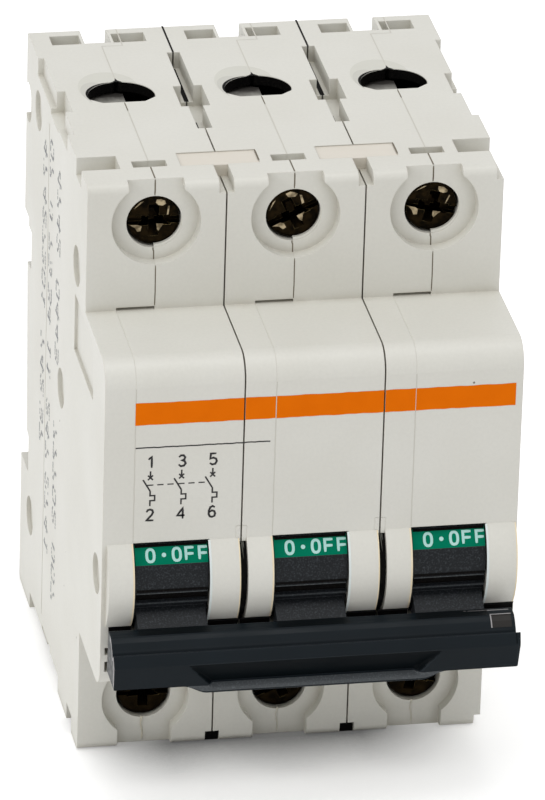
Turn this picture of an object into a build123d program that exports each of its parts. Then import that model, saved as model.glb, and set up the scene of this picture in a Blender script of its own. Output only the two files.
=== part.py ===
from build123d import *
import os

# Three-pole miniature circuit breaker for a 35 mm rail, all poles the same moulding.
# Millimetres. +X to the viewer's right, +Y into the rail, +Z up, origin under the middle of the box.

# Poles
POLES = 3
PITCH = 18.0
POLE_WIDTH = 17.8
HALF = POLE_WIDTH / 2
OVERCUT = 2.0

# Side view of one pole
HEIGHT = 81.0
BACK_Y = 37.0
SHOULDER_Y = -13.0
NOSE_Y = -29.2
NOSE_TOP_Z = 63.5
NOSE_BOTTOM_Z = 17.5
NOSE_ROUND = 3.2
SHOULDER_ROUND = 1.1
BACK_ROUND = 0.8

# Rail recess, for a rail 35 mm wide with 1 mm flanges
RAIL_PLANE_Y = 31.0
RAIL_TOP_Z = 54.4
RAIL_WIDTH = 35.4
RAIL_BOTTOM_Z = RAIL_TOP_Z - RAIL_WIDTH
RAIL_STEP_Y = 33.5
RAIL_STEP_Z = 55.5
RAIL_FLANGE = 5.6
KEEL_TOP_Y = 34.2
KEEL_FOOT_Y = 32.6
KEEL_SLOPE = 0.3
HOOK_HALF = 5.5
HOOK_DROP = 2.2
FLANGE_GAP = 1.6

# Seam between the two shells
SEAM_NOSE_X = -4.95
SEAM_BACK_X = 2.75
SEAM_BACK_Y = 30.9
SEAM_SLOT_TALL = 0.4
SEAM_SLOT_DEEP = 1.0

# Trough along both sides of the top and bottom, as (rear y, front y, half width, depth)
TROUGH = ((27.9, 17.0, 8.15, 2.35), (17.0, 10.5, 7.1, 3.0), (10.5, 3.4, 8.05, 2.35))

# Link keys and the notches they sit in
KEY_HALF = 5.1
KEY_REAR_Y = -3.9
KEY_FRONT_Y = -7.9
KEY_DEEP = 2.4
KEY_FLUSH = 0.1
WALL_GAP_HALF = 0.95
WALL_GAP_DEEP = 1.7
SLOT_HALF = 2.2
SLOT_REAR_Y = -5.8
SLOT_FRONT_Y = -7.7
SLOT_DEEP = 1.5

# Rear edge notch and the pockets beside it
NOTCH_LEFT_X = -2.1
NOTCH_RIGHT_X = 1.4
NOTCH_FRONT_Y = 32.1
NOTCH_DEEP = 5.0
POCKET_REAR_Y = 34.9
POCKET_FRONT_Y = 32.0
POCKET_DEEP = 2.4
POCKET_LEFT_X = -6.4
POCKET_RIGHT_X = 6.15
POCKET_WALL = 0.4

# Terminals
ENTRY_Y = 14.9
ENTRY_RADIUS = 4.4
ENTRY_FLAT = 2.15
ENTRY_FLAT_HALF = 2.75
ENTRY_EDGE = 0.4
ENTRY_WALL = 1.2
CHAMBER_HALF = 5.7
CHAMBER_FRONT_Y = 9.5
CHAMBER_REAR_Y = 22.4
CHAMBER_SPARE = 2.7
VEE = 1.1
WELL_RADIUS = 3.6
RING_RADIUS = 5.75
RING_DEEP = 1.6
GROOVE_HALF = 3.6
UPPER_WELL_DROP = 6.0
UPPER_RING_RISE = 0.5
UPPER_WELL_Z = HEIGHT - UPPER_WELL_DROP
LOWER_WELL_Z = 7.2

# Screws
HEAD_RADIUS = 3.45
HEAD_TALL = 2.6
HEAD_SUNK = 0.5
HEAD_FACE_Y = SHOULDER_Y + RING_DEEP + HEAD_SUNK
SHANK_RADIUS = 2.05
DRIVE_WIDTH = 1.1
DRIVE_DEEP = 1.3
DRIVE_ANGLES = (0.0, 25.0, -13.0)

# Clamp cages
CAGE_WALL = 1.3
CAGE_HALF = 4.9
CAGE_FRONT_Y = 10.3
CAGE_REAR_Y = 21.6
CAGE_TALL = 9.4
CAGE_ABOVE_UPPER_SCREW = 1.9
CAGE_BELOW_LOWER_SCREW = 3.1
UPPER_CAGE_Z = UPPER_WELL_Z + CAGE_ABOVE_UPPER_SCREW - CAGE_TALL
LOWER_CAGE_Z = LOWER_WELL_Z - CAGE_BELOW_LOWER_SCREW

# Handle
AXIS_Y = -22.8
AXIS_Z = 32.5
CHEEK_RADIUS = 8.7
CHEEK_OUT_X = 8.3
CHEEK_SLOT_DEEP = 4.0
CHEEK_SLOT_HALF = 7.6
WINDOW_HALF = 4.95
WINDOW_TOP_Z = 38.45
WINDOW_FOOT_Z = 25.8
DRUM_RADIUS = 7.9
DRUM_HALF = 4.7
DRUM_CLEAR = 0.5
PIN_RADIUS = 1.5
PIN_LENGTH = 1.6
PIN_FIT = 0.05
FLAG_THICK = 0.5
PIN_END_GAP = 0.2
FLAG_FOOT_ANGLE = 23.3
FLAG_TOP_ANGLE = 42.5
BAND_ANGLES = ((-15.0, -3.0), (-27.0, -17.5))
BAND_DEEP = 0.6
LEVER_HALF = 4.5
LEVER_ANGLE = -35.5
LEVER_THICK = 2.4
LEVER_REACH = 14.6

# Tie bar across the three levers, side view points as (y, z)
BAR_LEFT_X = -26.35
BAR_RIGHT_X = 26.45
BAR_STEP_X = 26.0
BAR_END_DRAFT = 0.35
BAR_FOOT_Z = 21.5
BAR_BACK = ((-31.3, BAR_FOOT_Z), (-31.9, 27.6))
BAR_STEP = ((-33.6, 27.3), (-35.5, 26.0))
BAR_FACE = ((-36.1, 26.1), (-37.0, 24.6), (-36.8, 22.1), (-36.2, BAR_FOOT_Z))
BAR_GROOVE = 0.8
LIP_LEFT_X = -13.4
LIP_RIGHT_X = 14.6
LIP_RUN = 3.4
LIP_DROP = 1.2
LIP_THICK = 2.4
LIP_TOP_Z = 21.4
LIP_ROOT = 0.4
SCOOP_TOP_Z = 24.0
SCOOP_DEEP = 1.3

# Side faces
DISH_RADIUS = 2.7
DISH_DEEP = 0.6
DISHES = ((26.9, 74.0), (-5.6, 66.6), (29.0, 13.4))
LEFT_DISHES = ((35.4, 71.5), (5.2, 44.0), (-25.0, 32.3))
PATCH = (-19.9, -4.7, 54.4, 62.3)
PATCH_DEEP = 0.4
SCORE_Y = 17.8
SCORE_FOOT_Z = 4.2
SCORE_TOP_Z = 76.2
SCORE_WIDE = 0.3
SCORE_DEEP = 0.2
LOUVRES = ((22.65, 23.65), (20.2, 21.65))
LOUVRE_WIDE = 1.0
LOUVRE_WALL = 0.6
LOUVRE_DEEP = 4.0

# Rail clip
CLIP_HALF = 4.6
CLIP_DEEP = 4.2
CLIP_FIT = 0.15
CLIP_FOOT_Z = 2.6
CLIP_HOOK = 2.2
CLIP_SLOT_DEEP = 1.2
CLIP_SLOT_FOOT = 1.6
CLIP_SLOT_TALL = 1.8
CLIP_BACK_GAP = 0.3


def block(x0, x1, y0, y1, z0, z1):
    centre = Pos((x0 + x1) / 2, (y0 + y1) / 2, (z0 + z1) / 2)
    return centre * Box(abs(x1 - x0), abs(y1 - y0), abs(z1 - z0))


def rod_x(radius, x0, x1, y, z):
    return Pos((x0 + x1) / 2, y, z) * Rot(0, 90, 0) * Cylinder(radius, abs(x1 - x0))


def rod_y(radius, y0, y1, x, z):
    return Pos(x, (y0 + y1) / 2, z) * Rot(90, 0, 0) * Cylinder(radius, abs(y1 - y0))


def rounded_face(points):
    face = make_face(Polyline(*[(u, v) for u, v, _ in points], close=True))
    for u, v, radius in points:
        if radius > 0:
            corner = face.vertices().sort_by_distance((u, v, 0))[0]
            face = fillet(corner, radius)
    return face


def across(face, x0, x1):
    return Pos(x0, 0, 0) * extrude(Plane.YZ * face, x1 - x0)


def ends(shape):
    flipped = mirror(shape, about=Plane.XY.offset(HEIGHT / 2))
    return [shape, flipped]


def sides(shape):
    return [shape, mirror(shape, about=Plane.YZ)]


# Housing of one pole, centred on x = 0


def side_profile():
    keel_top = RAIL_TOP_Z - RAIL_FLANGE
    keel_foot = RAIL_BOTTOM_Z + RAIL_FLANGE
    return rounded_face([
        (BACK_Y, 0, BACK_ROUND),
        (BACK_Y, RAIL_BOTTOM_Z, 0),
        (RAIL_PLANE_Y, RAIL_BOTTOM_Z, 0),
        (RAIL_PLANE_Y, keel_foot - KEEL_SLOPE, 0),
        (KEEL_FOOT_Y, keel_foot, 0),
        (KEEL_TOP_Y, keel_top, 0),
        (RAIL_PLANE_Y, keel_top + KEEL_SLOPE, 0),
        (RAIL_PLANE_Y, RAIL_TOP_Z, 0),
        (RAIL_STEP_Y, RAIL_TOP_Z, 0),
        (RAIL_STEP_Y, RAIL_STEP_Z, 0),
        (BACK_Y, RAIL_STEP_Z, 0),
        (BACK_Y, HEIGHT, BACK_ROUND),
        (SHOULDER_Y, HEIGHT, SHOULDER_ROUND),
        (SHOULDER_Y, NOSE_TOP_Z, 0),
        (NOSE_Y, NOSE_TOP_Z, NOSE_ROUND),
        (NOSE_Y, NOSE_BOTTOM_Z, NOSE_ROUND),
        (SHOULDER_Y, NOSE_BOTTOM_Z, 0),
        (SHOULDER_Y, 0, SHOULDER_ROUND),
    ])


def outer_body():
    body = across(side_profile(), -HALF, HALF)
    cheeks = sides(rod_x(CHEEK_RADIUS, WINDOW_HALF, CHEEK_OUT_X, AXIS_Y, AXIS_Z))
    hook = block(-HOOK_HALF, HOOK_HALF, RAIL_PLANE_Y + FLANGE_GAP, BACK_Y,
                 RAIL_TOP_Z - HOOK_DROP, RAIL_STEP_Z)
    return body + cheeks + hook


def trough_cuts():
    cuts = []
    for rear, front, width, deep in TROUGH:
        cut = block(width, HALF + OVERCUT, front, rear, HEIGHT - deep, HEIGHT + OVERCUT)
        cuts += [end for side in sides(cut) for end in ends(side)]
    return cuts


def key_cuts():
    side_x = PITCH / 2 - KEY_HALF
    notch = block(side_x, HALF + OVERCUT, KEY_FRONT_Y, KEY_REAR_Y, HEIGHT - KEY_DEEP, HEIGHT + OVERCUT)
    slot = block(-SLOT_HALF, SLOT_HALF, SLOT_FRONT_Y, SLOT_REAR_Y, HEIGHT - SLOT_DEEP, HEIGHT + OVERCUT)
    return [end for cut in sides(notch) + [slot] for end in ends(cut)]


def wall_gaps():
    gap_x = PITCH / 2 - WALL_GAP_HALF
    gap = block(gap_x, HALF + OVERCUT, SHOULDER_Y - OVERCUT, KEY_FRONT_Y,
                HEIGHT - WALL_GAP_DEEP, HEIGHT + OVERCUT)
    return [end for cut in sides(gap) for end in ends(cut)]


def cheek_slots():
    slot = block(CHEEK_OUT_X, HALF + OVERCUT, NOSE_Y - OVERCUT, NOSE_Y + CHEEK_SLOT_DEEP,
                 AXIS_Z - CHEEK_SLOT_HALF, AXIS_Z + CHEEK_SLOT_HALF)
    return sides(slot)


def rear_cuts():
    notch = block(NOTCH_LEFT_X, NOTCH_RIGHT_X, NOTCH_FRONT_Y, BACK_Y + OVERCUT,
                  HEIGHT - NOTCH_DEEP, HEIGHT + OVERCUT)
    floor = HEIGHT - POCKET_DEEP
    left = block(POCKET_LEFT_X, NOTCH_LEFT_X - POCKET_WALL, POCKET_FRONT_Y, POCKET_REAR_Y,
                 floor, HEIGHT + OVERCUT)
    right = block(NOTCH_RIGHT_X + POCKET_WALL, POCKET_RIGHT_X, POCKET_FRONT_Y, POCKET_REAR_Y,
                  floor, HEIGHT + OVERCUT)
    return [end for cut in (notch, left, right) for end in ends(cut)]


def entry_outline():
    front = ENTRY_Y - ENTRY_FLAT
    flat = make_face(Polyline(
        (-ENTRY_FLAT_HALF, front), (ENTRY_FLAT_HALF, front), (ENTRY_RADIUS + 1, ENTRY_Y),
        (ENTRY_RADIUS + 1, ENTRY_Y + ENTRY_RADIUS + 1), (-ENTRY_RADIUS - 1, ENTRY_Y + ENTRY_RADIUS + 1),
        (-ENTRY_RADIUS - 1, ENTRY_Y), close=True))
    return Pos(0, ENTRY_Y) * Circle(ENTRY_RADIUS) & flat


def entry_cuts():
    top = HEIGHT - ENTRY_WALL
    bore = Pos(0, 0, top - 1) * extrude(entry_outline(), ENTRY_WALL + 1 + OVERCUT)
    flare = Pos(0, ENTRY_Y, top) * Cone(
        ENTRY_RADIUS + ENTRY_WALL - ENTRY_EDGE, ENTRY_RADIUS, ENTRY_WALL - ENTRY_EDGE,
        align=(Align.CENTER, Align.CENTER, Align.MIN))
    flare = flare & block(-HALF, HALF, ENTRY_Y, BACK_Y, top - 1, HEIGHT)
    upper = block(-CHAMBER_HALF, CHAMBER_HALF, CHAMBER_FRONT_Y, CHAMBER_REAR_Y,
                  UPPER_CAGE_Z - CHAMBER_SPARE, top)
    lower = block(-CHAMBER_HALF, CHAMBER_HALF, CHAMBER_FRONT_Y, CHAMBER_REAR_Y,
                  ENTRY_WALL, LOWER_CAGE_Z + CAGE_TALL + CHAMBER_SPARE)
    vee = Pos(0, ENTRY_Y + ENTRY_RADIUS, top - 1) * Rot(0, 0, 45) * Box(
        VEE, VEE, ENTRY_WALL + 1 + OVERCUT, align=(Align.CENTER, Align.CENTER, Align.MIN))
    return [flare, vee, upper, lower] + ends(bore)


def well_cuts(z, ring_z, end_z):
    floor = SHOULDER_Y + RING_DEEP
    ring = rod_y(RING_RADIUS, SHOULDER_Y - OVERCUT, floor, 0, ring_z)
    well = rod_y(WELL_RADIUS, SHOULDER_Y, CHAMBER_FRONT_Y + 1, 0, z)
    channel = block(-GROOVE_HALF, GROOVE_HALF, SHOULDER_Y - OVERCUT, floor, ring_z, end_z)
    return [ring, well, channel]


def handle_cuts():
    drum = rod_x(DRUM_RADIUS + DRUM_CLEAR, -WINDOW_HALF, WINDOW_HALF, AXIS_Y, AXIS_Z)
    window = block(-WINDOW_HALF, WINDOW_HALF, NOSE_Y - OVERCUT, AXIS_Y, WINDOW_FOOT_Z, WINDOW_TOP_Z)
    reach = DRUM_HALF + PIN_LENGTH + PIN_END_GAP
    pin = rod_x(PIN_RADIUS + PIN_FIT, -reach, reach, AXIS_Y, AXIS_Z)
    return [drum, window, pin]


def louvre_cuts():
    outer_x = HALF - LOUVRE_WALL
    cuts = [block(outer_x - LOUVRE_WIDE, outer_x, NOSE_Y - OVERCUT, NOSE_Y + LOUVRE_DEEP, z0, z1)
            for z0, z1 in LOUVRES]
    return [side for cut in cuts for side in sides(cut)]


def dish(y, z):
    return rod_x(DISH_RADIUS, HALF - DISH_DEEP, HALF + OVERCUT, y, z)


def outer_face_cuts():
    y0, y1, z0, z1 = PATCH
    patch = block(HALF - PATCH_DEEP, HALF + OVERCUT, y0, y1, z0, z1)
    score = block(HALF - SCORE_DEEP, HALF + OVERCUT, SCORE_Y - SCORE_WIDE / 2,
                  SCORE_Y + SCORE_WIDE / 2, SCORE_FOOT_Z, SCORE_TOP_Z)
    both = [dish(y, z) for y, z in DISHES] + [patch, score]
    left_only = [mirror(dish(y, z), about=Plane.YZ) for y, z in LEFT_DISHES]
    return [side for cut in both for side in sides(cut)] + left_only


def seam_slot():
    top = block(SEAM_NOSE_X, 0, SHOULDER_Y - OVERCUT, SHOULDER_Y + SEAM_SLOT_DEEP,
                NOSE_TOP_Z, NOSE_TOP_Z + SEAM_SLOT_TALL)
    return ends(top)


def clip_cut():
    depth = BACK_Y - CLIP_DEEP - CLIP_FIT
    return block(-CLIP_HALF - CLIP_FIT, CLIP_HALF + CLIP_FIT, depth, BACK_Y + OVERCUT,
                 -OVERCUT, RAIL_BOTTOM_Z + OVERCUT)


def pole_body():
    cuts = trough_cuts() + key_cuts() + rear_cuts() + entry_cuts() + handle_cuts() + louvre_cuts()
    cuts += well_cuts(UPPER_WELL_Z, UPPER_WELL_Z + UPPER_RING_RISE, HEIGHT + OVERCUT)
    cuts += well_cuts(LOWER_WELL_Z, LOWER_WELL_Z, -OVERCUT)
    cuts += seam_slot()
    cuts.append(clip_cut())
    return outer_body() - cuts


def left_region():
    far = HALF + OVERCUT
    main = block(-far, 0, SHOULDER_Y, SEAM_BACK_Y, -OVERCUT, HEIGHT + OVERCUT)
    nose = block(-far, SEAM_NOSE_X, NOSE_Y - far, SHOULDER_Y, -OVERCUT, HEIGHT + OVERCUT)
    shoulder = block(-far, 0, SHOULDER_Y - OVERCUT, SHOULDER_Y, NOSE_TOP_Z, HEIGHT + OVERCUT)
    foot = block(-far, 0, SHOULDER_Y - OVERCUT, SHOULDER_Y, -OVERCUT, NOSE_BOTTOM_Z)
    rear = block(-far, SEAM_BACK_X, SEAM_BACK_Y, BACK_Y + OVERCUT, -OVERCUT, HEIGHT + OVERCUT)
    return main + [nose, shoulder, foot, rear]


# Terminals


def terminal_screw(z, angle):
    head = rod_y(HEAD_RADIUS, HEAD_FACE_Y, HEAD_FACE_Y + HEAD_TALL, 0, 0)
    shank = rod_y(SHANK_RADIUS, HEAD_FACE_Y + HEAD_TALL, CAGE_FRONT_Y, 0, 0)
    slot = block(-HEAD_RADIUS, HEAD_RADIUS, HEAD_FACE_Y - 1, HEAD_FACE_Y + DRIVE_DEEP,
                 -DRIVE_WIDTH / 2, DRIVE_WIDTH / 2)
    return Pos(0, 0, z) * Rot(0, -angle, 0) * (head + shank - slot)


def clamp_cage(z_foot):
    z_top = z_foot + CAGE_TALL
    outer = block(-CAGE_HALF, CAGE_HALF, CAGE_FRONT_Y, CAGE_REAR_Y, z_foot, z_top)
    inner = block(-CAGE_HALF + CAGE_WALL, CAGE_HALF - CAGE_WALL, CAGE_FRONT_Y + CAGE_WALL,
                  CAGE_REAR_Y - CAGE_WALL, z_foot - 1, z_top + 1)
    return outer - inner


# Handle


def polar(radius, angle):
    along = Pos(0, AXIS_Y, AXIS_Z) * Rot(-angle, 0, 0)
    return along * Pos(0, -radius, 0)


def sector(radius, start, end, half):
    wedge = []
    steps = 6
    for step in range(steps + 1):
        angle = start + (end - start) * step / steps
        spot = polar(radius * 1.4, angle).position
        wedge.append((spot.Y, spot.Z))
    face = make_face(Polyline((AXIS_Y, AXIS_Z), *wedge, close=True))
    return rod_x(radius, -half, half, AXIS_Y, AXIS_Z) & across(face, -half, half)


def flag():
    core = rod_x(DRUM_RADIUS - FLAG_THICK, -DRUM_HALF, DRUM_HALF, AXIS_Y, AXIS_Z)
    return sector(DRUM_RADIUS, FLAG_FOOT_ANGLE, FLAG_TOP_ANGLE, DRUM_HALF) - core


def grip_bands():
    core = rod_x(DRUM_RADIUS - BAND_DEEP, -HALF, HALF, AXIS_Y, AXIS_Z)
    return [sector(DRUM_RADIUS + 1, foot, top, HALF) - core for foot, top in BAND_ANGLES]


def lever():
    reach = LEVER_REACH
    bar = Box(LEVER_HALF * 2, reach, LEVER_THICK)
    return polar(reach / 2, LEVER_ANGLE) * bar


def toggle():
    drum = rod_x(DRUM_RADIUS, -DRUM_HALF, DRUM_HALF, AXIS_Y, AXIS_Z)
    pins = rod_x(PIN_RADIUS, -DRUM_HALF - PIN_LENGTH, DRUM_HALF + PIN_LENGTH, AXIS_Y, AXIS_Z)
    return drum - grip_bands() - flag() + pins + lever()


def bar_profile():
    back, step, face = list(BAR_BACK), list(BAR_STEP), list(BAR_FACE)
    return make_face(Polyline(*(back + step + face), close=True))


def along_y(points, y0, y1):
    return Pos(0, y0, 0) * extrude(Plane.XZ * make_face(Polyline(*points, close=True)), y0 - y1)


def thumb_lip():
    foot, root = BAR_FOOT_Z - LIP_DROP, BAR_FOOT_Z + LIP_ROOT
    front, back = BAR_FACE[1][0], BAR_FACE[1][0] + LIP_THICK
    outline = along_y([(LIP_LEFT_X - LIP_RUN, root), (LIP_RIGHT_X + LIP_RUN, root),
                       (LIP_RIGHT_X, foot), (LIP_LEFT_X, foot)], front, back)
    floor = front + SCOOP_DEEP
    wedge = make_face(Polyline((front, foot), (back, foot), (back, root), (floor, root),
                               (floor, LIP_TOP_Z), close=True))
    return outline & across(wedge, LIP_LEFT_X - LIP_RUN, LIP_RIGHT_X + LIP_RUN)


def thumb_scoop():
    front = BAR_FACE[1][0]
    foot = BAR_FOOT_Z - LIP_DROP
    return along_y([(LIP_LEFT_X, foot), (LIP_RIGHT_X, foot), (LIP_RIGHT_X + LIP_RUN, SCOOP_TOP_Z),
                    (LIP_LEFT_X - LIP_RUN, SCOOP_TOP_Z)], front - 1, front + SCOOP_DEEP)


def tie_bar():
    bar = across(bar_profile(), BAR_LEFT_X, BAR_RIGHT_X)
    upper = block(BAR_STEP_X, BAR_RIGHT_X + 1, BAR_STEP[1][0], AXIS_Y, 0, HEIGHT)
    draft = along_y([(BAR_RIGHT_X, BAR_STEP[1][1]), (BAR_RIGHT_X + 1, BAR_STEP[1][1]),
                     (BAR_RIGHT_X + 1, BAR_FOOT_Z - 1), (BAR_RIGHT_X - BAR_END_DRAFT, BAR_FOOT_Z - 1)],
                    BAR_FACE[1][0] - 1, AXIS_Y)
    groove = Pos(0, BAR_STEP[1][0], BAR_STEP[1][1]) * Rot(45, 0, 0) * Box(PITCH * 4, BAR_GROOVE, BAR_GROOVE)
    levers = [Pos(x, 0, 0) * lever() for x in pole_centres()]
    return bar - [upper, draft, groove, thumb_scoop()] + thumb_lip() - levers


# Keys and rail clips


def link_key():
    top = HEIGHT - KEY_FLUSH
    return block(-KEY_HALF, KEY_HALF, KEY_FRONT_Y, KEY_REAR_Y, HEIGHT - KEY_DEEP, top)


def rail_clip():
    face_y = BACK_Y - CLIP_DEEP
    back_y = BACK_Y - CLIP_BACK_GAP
    plate = block(-CLIP_HALF, CLIP_HALF, face_y, back_y, CLIP_FOOT_Z, RAIL_BOTTOM_Z + CLIP_HOOK)
    seat = block(-CLIP_HALF - 1, CLIP_HALF + 1, face_y - 1, RAIL_PLANE_Y + FLANGE_GAP,
                 RAIL_BOTTOM_Z, RAIL_BOTTOM_Z + CLIP_HOOK + 1)
    slot_z = CLIP_FOOT_Z + CLIP_SLOT_FOOT
    slot = block(-CLIP_HALF / 2, CLIP_HALF / 2, back_y - CLIP_SLOT_DEEP, BACK_Y,
                 slot_z, slot_z + CLIP_SLOT_TALL)
    return plate - [seat, slot]


def pole_centres():
    return [PITCH * (number - (POLES - 1) / 2) for number in range(POLES)]


def save(shape, name):
    export_step(shape, "parts/" + name + ".step")
    box = shape.bounding_box()
    print(name, len(shape.solids()), [round(v, 2) for v in (*box.min, *box.max)])


def shells():
    body = pole_body()
    region = left_region()
    left, right = body & region, body - region
    between = wall_gaps() + cheek_slots()
    inner = {"case_left": left - between, "case_right": right - between}
    outer = {"case_left": left - outer_face_cuts(), "case_right": right - outer_face_cuts() - wall_gaps()}
    return inner, outer


def main():
    os.makedirs("parts", exist_ok=True)
    inner, outer = shells()
    cages = {"upper": clamp_cage(UPPER_CAGE_Z), "lower": clamp_cage(LOWER_CAGE_Z)}
    wells = {"upper": UPPER_WELL_Z, "lower": LOWER_WELL_Z}
    single = {"toggle": toggle(), "off_flag": flag(), "rail_clip": rail_clip()}
    for number, x in enumerate(pole_centres(), start=1):
        left = outer if number == 1 else inner
        right = outer if number == POLES else inner
        pole = dict(single, case_left=left["case_left"], case_right=right["case_right"])
        for name, shape in pole.items():
            save(Pos(x, 0, 0) * shape, name + "_" + str(number))
        for place, z in wells.items():
            screw = terminal_screw(z, DRIVE_ANGLES[(number - 1) % len(DRIVE_ANGLES)])
            save(Pos(x, 0, 0) * screw, place + "_screw_" + str(number))
            save(Pos(x, 0, 0) * cages[place], place + "_clamp_" + str(number))
    for number, x in enumerate((-PITCH / 2, PITCH / 2), start=1):
        upper, lower = ends(link_key())
        save(Pos(x, 0, 0) * upper, "link_key_upper_" + str(number))
        save(Pos(x, 0, 0) * lower, "link_key_lower_" + str(number))
    save(tie_bar(), "handle_tie_bar")


main()
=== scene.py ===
"""Dresses a three-pole miniature circuit breaker for a 35 mm rail, and lights it for one view.

Most CAD nodes keep their meshes and get moulded or plated finishes. The terminal screws and the
tie bar are built again with their finer forms. What only the eye needs is added: printed marks,
parting lines, flash, painted shade in gaps and holes, and edges lightened by wear and by painted
highlights.
"""

import logging
import math
import random
from dataclasses import dataclass, field
from enum import Enum
from typing import Any, Sequence

import bmesh
import bpy
from mathutils import Matrix, Vector

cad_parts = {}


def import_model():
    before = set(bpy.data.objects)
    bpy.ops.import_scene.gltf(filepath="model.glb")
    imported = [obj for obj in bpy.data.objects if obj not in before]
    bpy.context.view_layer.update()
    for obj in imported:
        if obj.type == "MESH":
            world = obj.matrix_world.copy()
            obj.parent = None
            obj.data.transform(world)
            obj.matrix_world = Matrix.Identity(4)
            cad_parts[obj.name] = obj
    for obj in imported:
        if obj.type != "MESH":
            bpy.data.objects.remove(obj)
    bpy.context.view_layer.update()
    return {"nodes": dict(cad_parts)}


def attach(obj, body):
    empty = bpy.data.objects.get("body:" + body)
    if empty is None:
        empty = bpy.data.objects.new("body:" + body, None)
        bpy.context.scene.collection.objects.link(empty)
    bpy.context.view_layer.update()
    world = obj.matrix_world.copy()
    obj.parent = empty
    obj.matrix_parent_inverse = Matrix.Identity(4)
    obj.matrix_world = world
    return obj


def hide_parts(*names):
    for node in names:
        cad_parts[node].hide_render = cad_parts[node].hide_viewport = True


LOG = logging.getLogger("breaker")
MM = 0.001
POLYAMIDE_IOR = 1.53
Point = tuple[float, float]
Colour = tuple[float, float, float, float]

# Places of the CAD model that several pieces share, in millimetres.
HEIGHT = 81.0
SHOULDER_Y = -13.0
GROOVE_Y = -11.4
NOSE_Y = -29.2
AXIS_Y = -22.8
AXIS_Z = 32.5
HOLE_Y = 14.9
SEAM_NOSE_X = -4.95
POLE_XS = (-18.0, 0.0, 18.0)
GAP_XS = (-9.0, 9.0)


class Body(Enum):
    """The two bodies of the frame that a piece can ride on."""

    HOUSING = "housing"
    HANDLE = "handle"


class Slot(Enum):
    """The record's material slots that the added pieces belong to."""

    CASE = "case"
    TOGGLE = "toggle"
    TIE_BAR = "tie_bar"
    FLAG = "flag"
    KEY = "key"
    SCREW = "screw"


def linear(code: str) -> Colour:
    """Turns an sRGB hex colour into the linear colour that a shader socket takes.

    Args:
        code: The colour as "#RRGGBB".

    Returns:
        Linear red, green, blue and an alpha of 1.
    """
    parts = [int(code[i:i + 2], 16) / 255 for i in (1, 3, 5)]
    red, green, blue = (
        c / 12.92 if c <= 0.04045 else ((c + 0.055) / 1.055) ** 2.4 for c in parts
    )
    return (red, green, blue, 1.0)


def per_metre(size_mm: float) -> float:
    """Gives the texture scale at which one feature of a pattern is size_mm wide."""
    return 1.0 / (size_mm * MM)


def evenly(start: float, end: float, parts: int) -> list[float]:
    """Gives parts + 1 evenly spaced numbers from start to end."""
    return [start + (end - start) * part / parts for part in range(parts + 1)]


def on_circle(centre: Point, radius: float, angle: float) -> Point:
    """Gives the point of a circle at one angle in radians."""
    return (centre[0] + radius * math.cos(angle), centre[1] + radius * math.sin(angle))


def add_object(name: str, data: bpy.types.ID) -> bpy.types.Object:
    """Makes an object for some data and links it to the scene.

    Args:
        name: Its name.
        data: Its mesh, lamp or camera data.

    Returns:
        The new object.
    """
    thing = bpy.data.objects.new(name, data)
    bpy.context.scene.collection.objects.link(thing)
    return thing


def add_node(
    tree: bpy.types.NodeTree,
    kind: str,
    settings: dict[Any, Any] | None = None,
    links: dict[Any, bpy.types.NodeSocket] | None = None,
) -> bpy.types.Node:
    """Adds one node to a tree.

    Args:
        tree: The node tree.
        kind: The node's type name.
        settings: Properties of the node by name, and values of its inputs by name or number.
        links: The output that feeds each input, by the input's name or number.

    Returns:
        The new node.
    """
    node = tree.nodes.new(kind)
    for name, value in (settings or {}).items():
        if isinstance(name, int) or name in node.inputs:
            node.inputs[name].default_value = value
        else:
            setattr(node, name, value)
    for name, source in (links or {}).items():
        tree.links.new(source, node.inputs[name])
    return node


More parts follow.
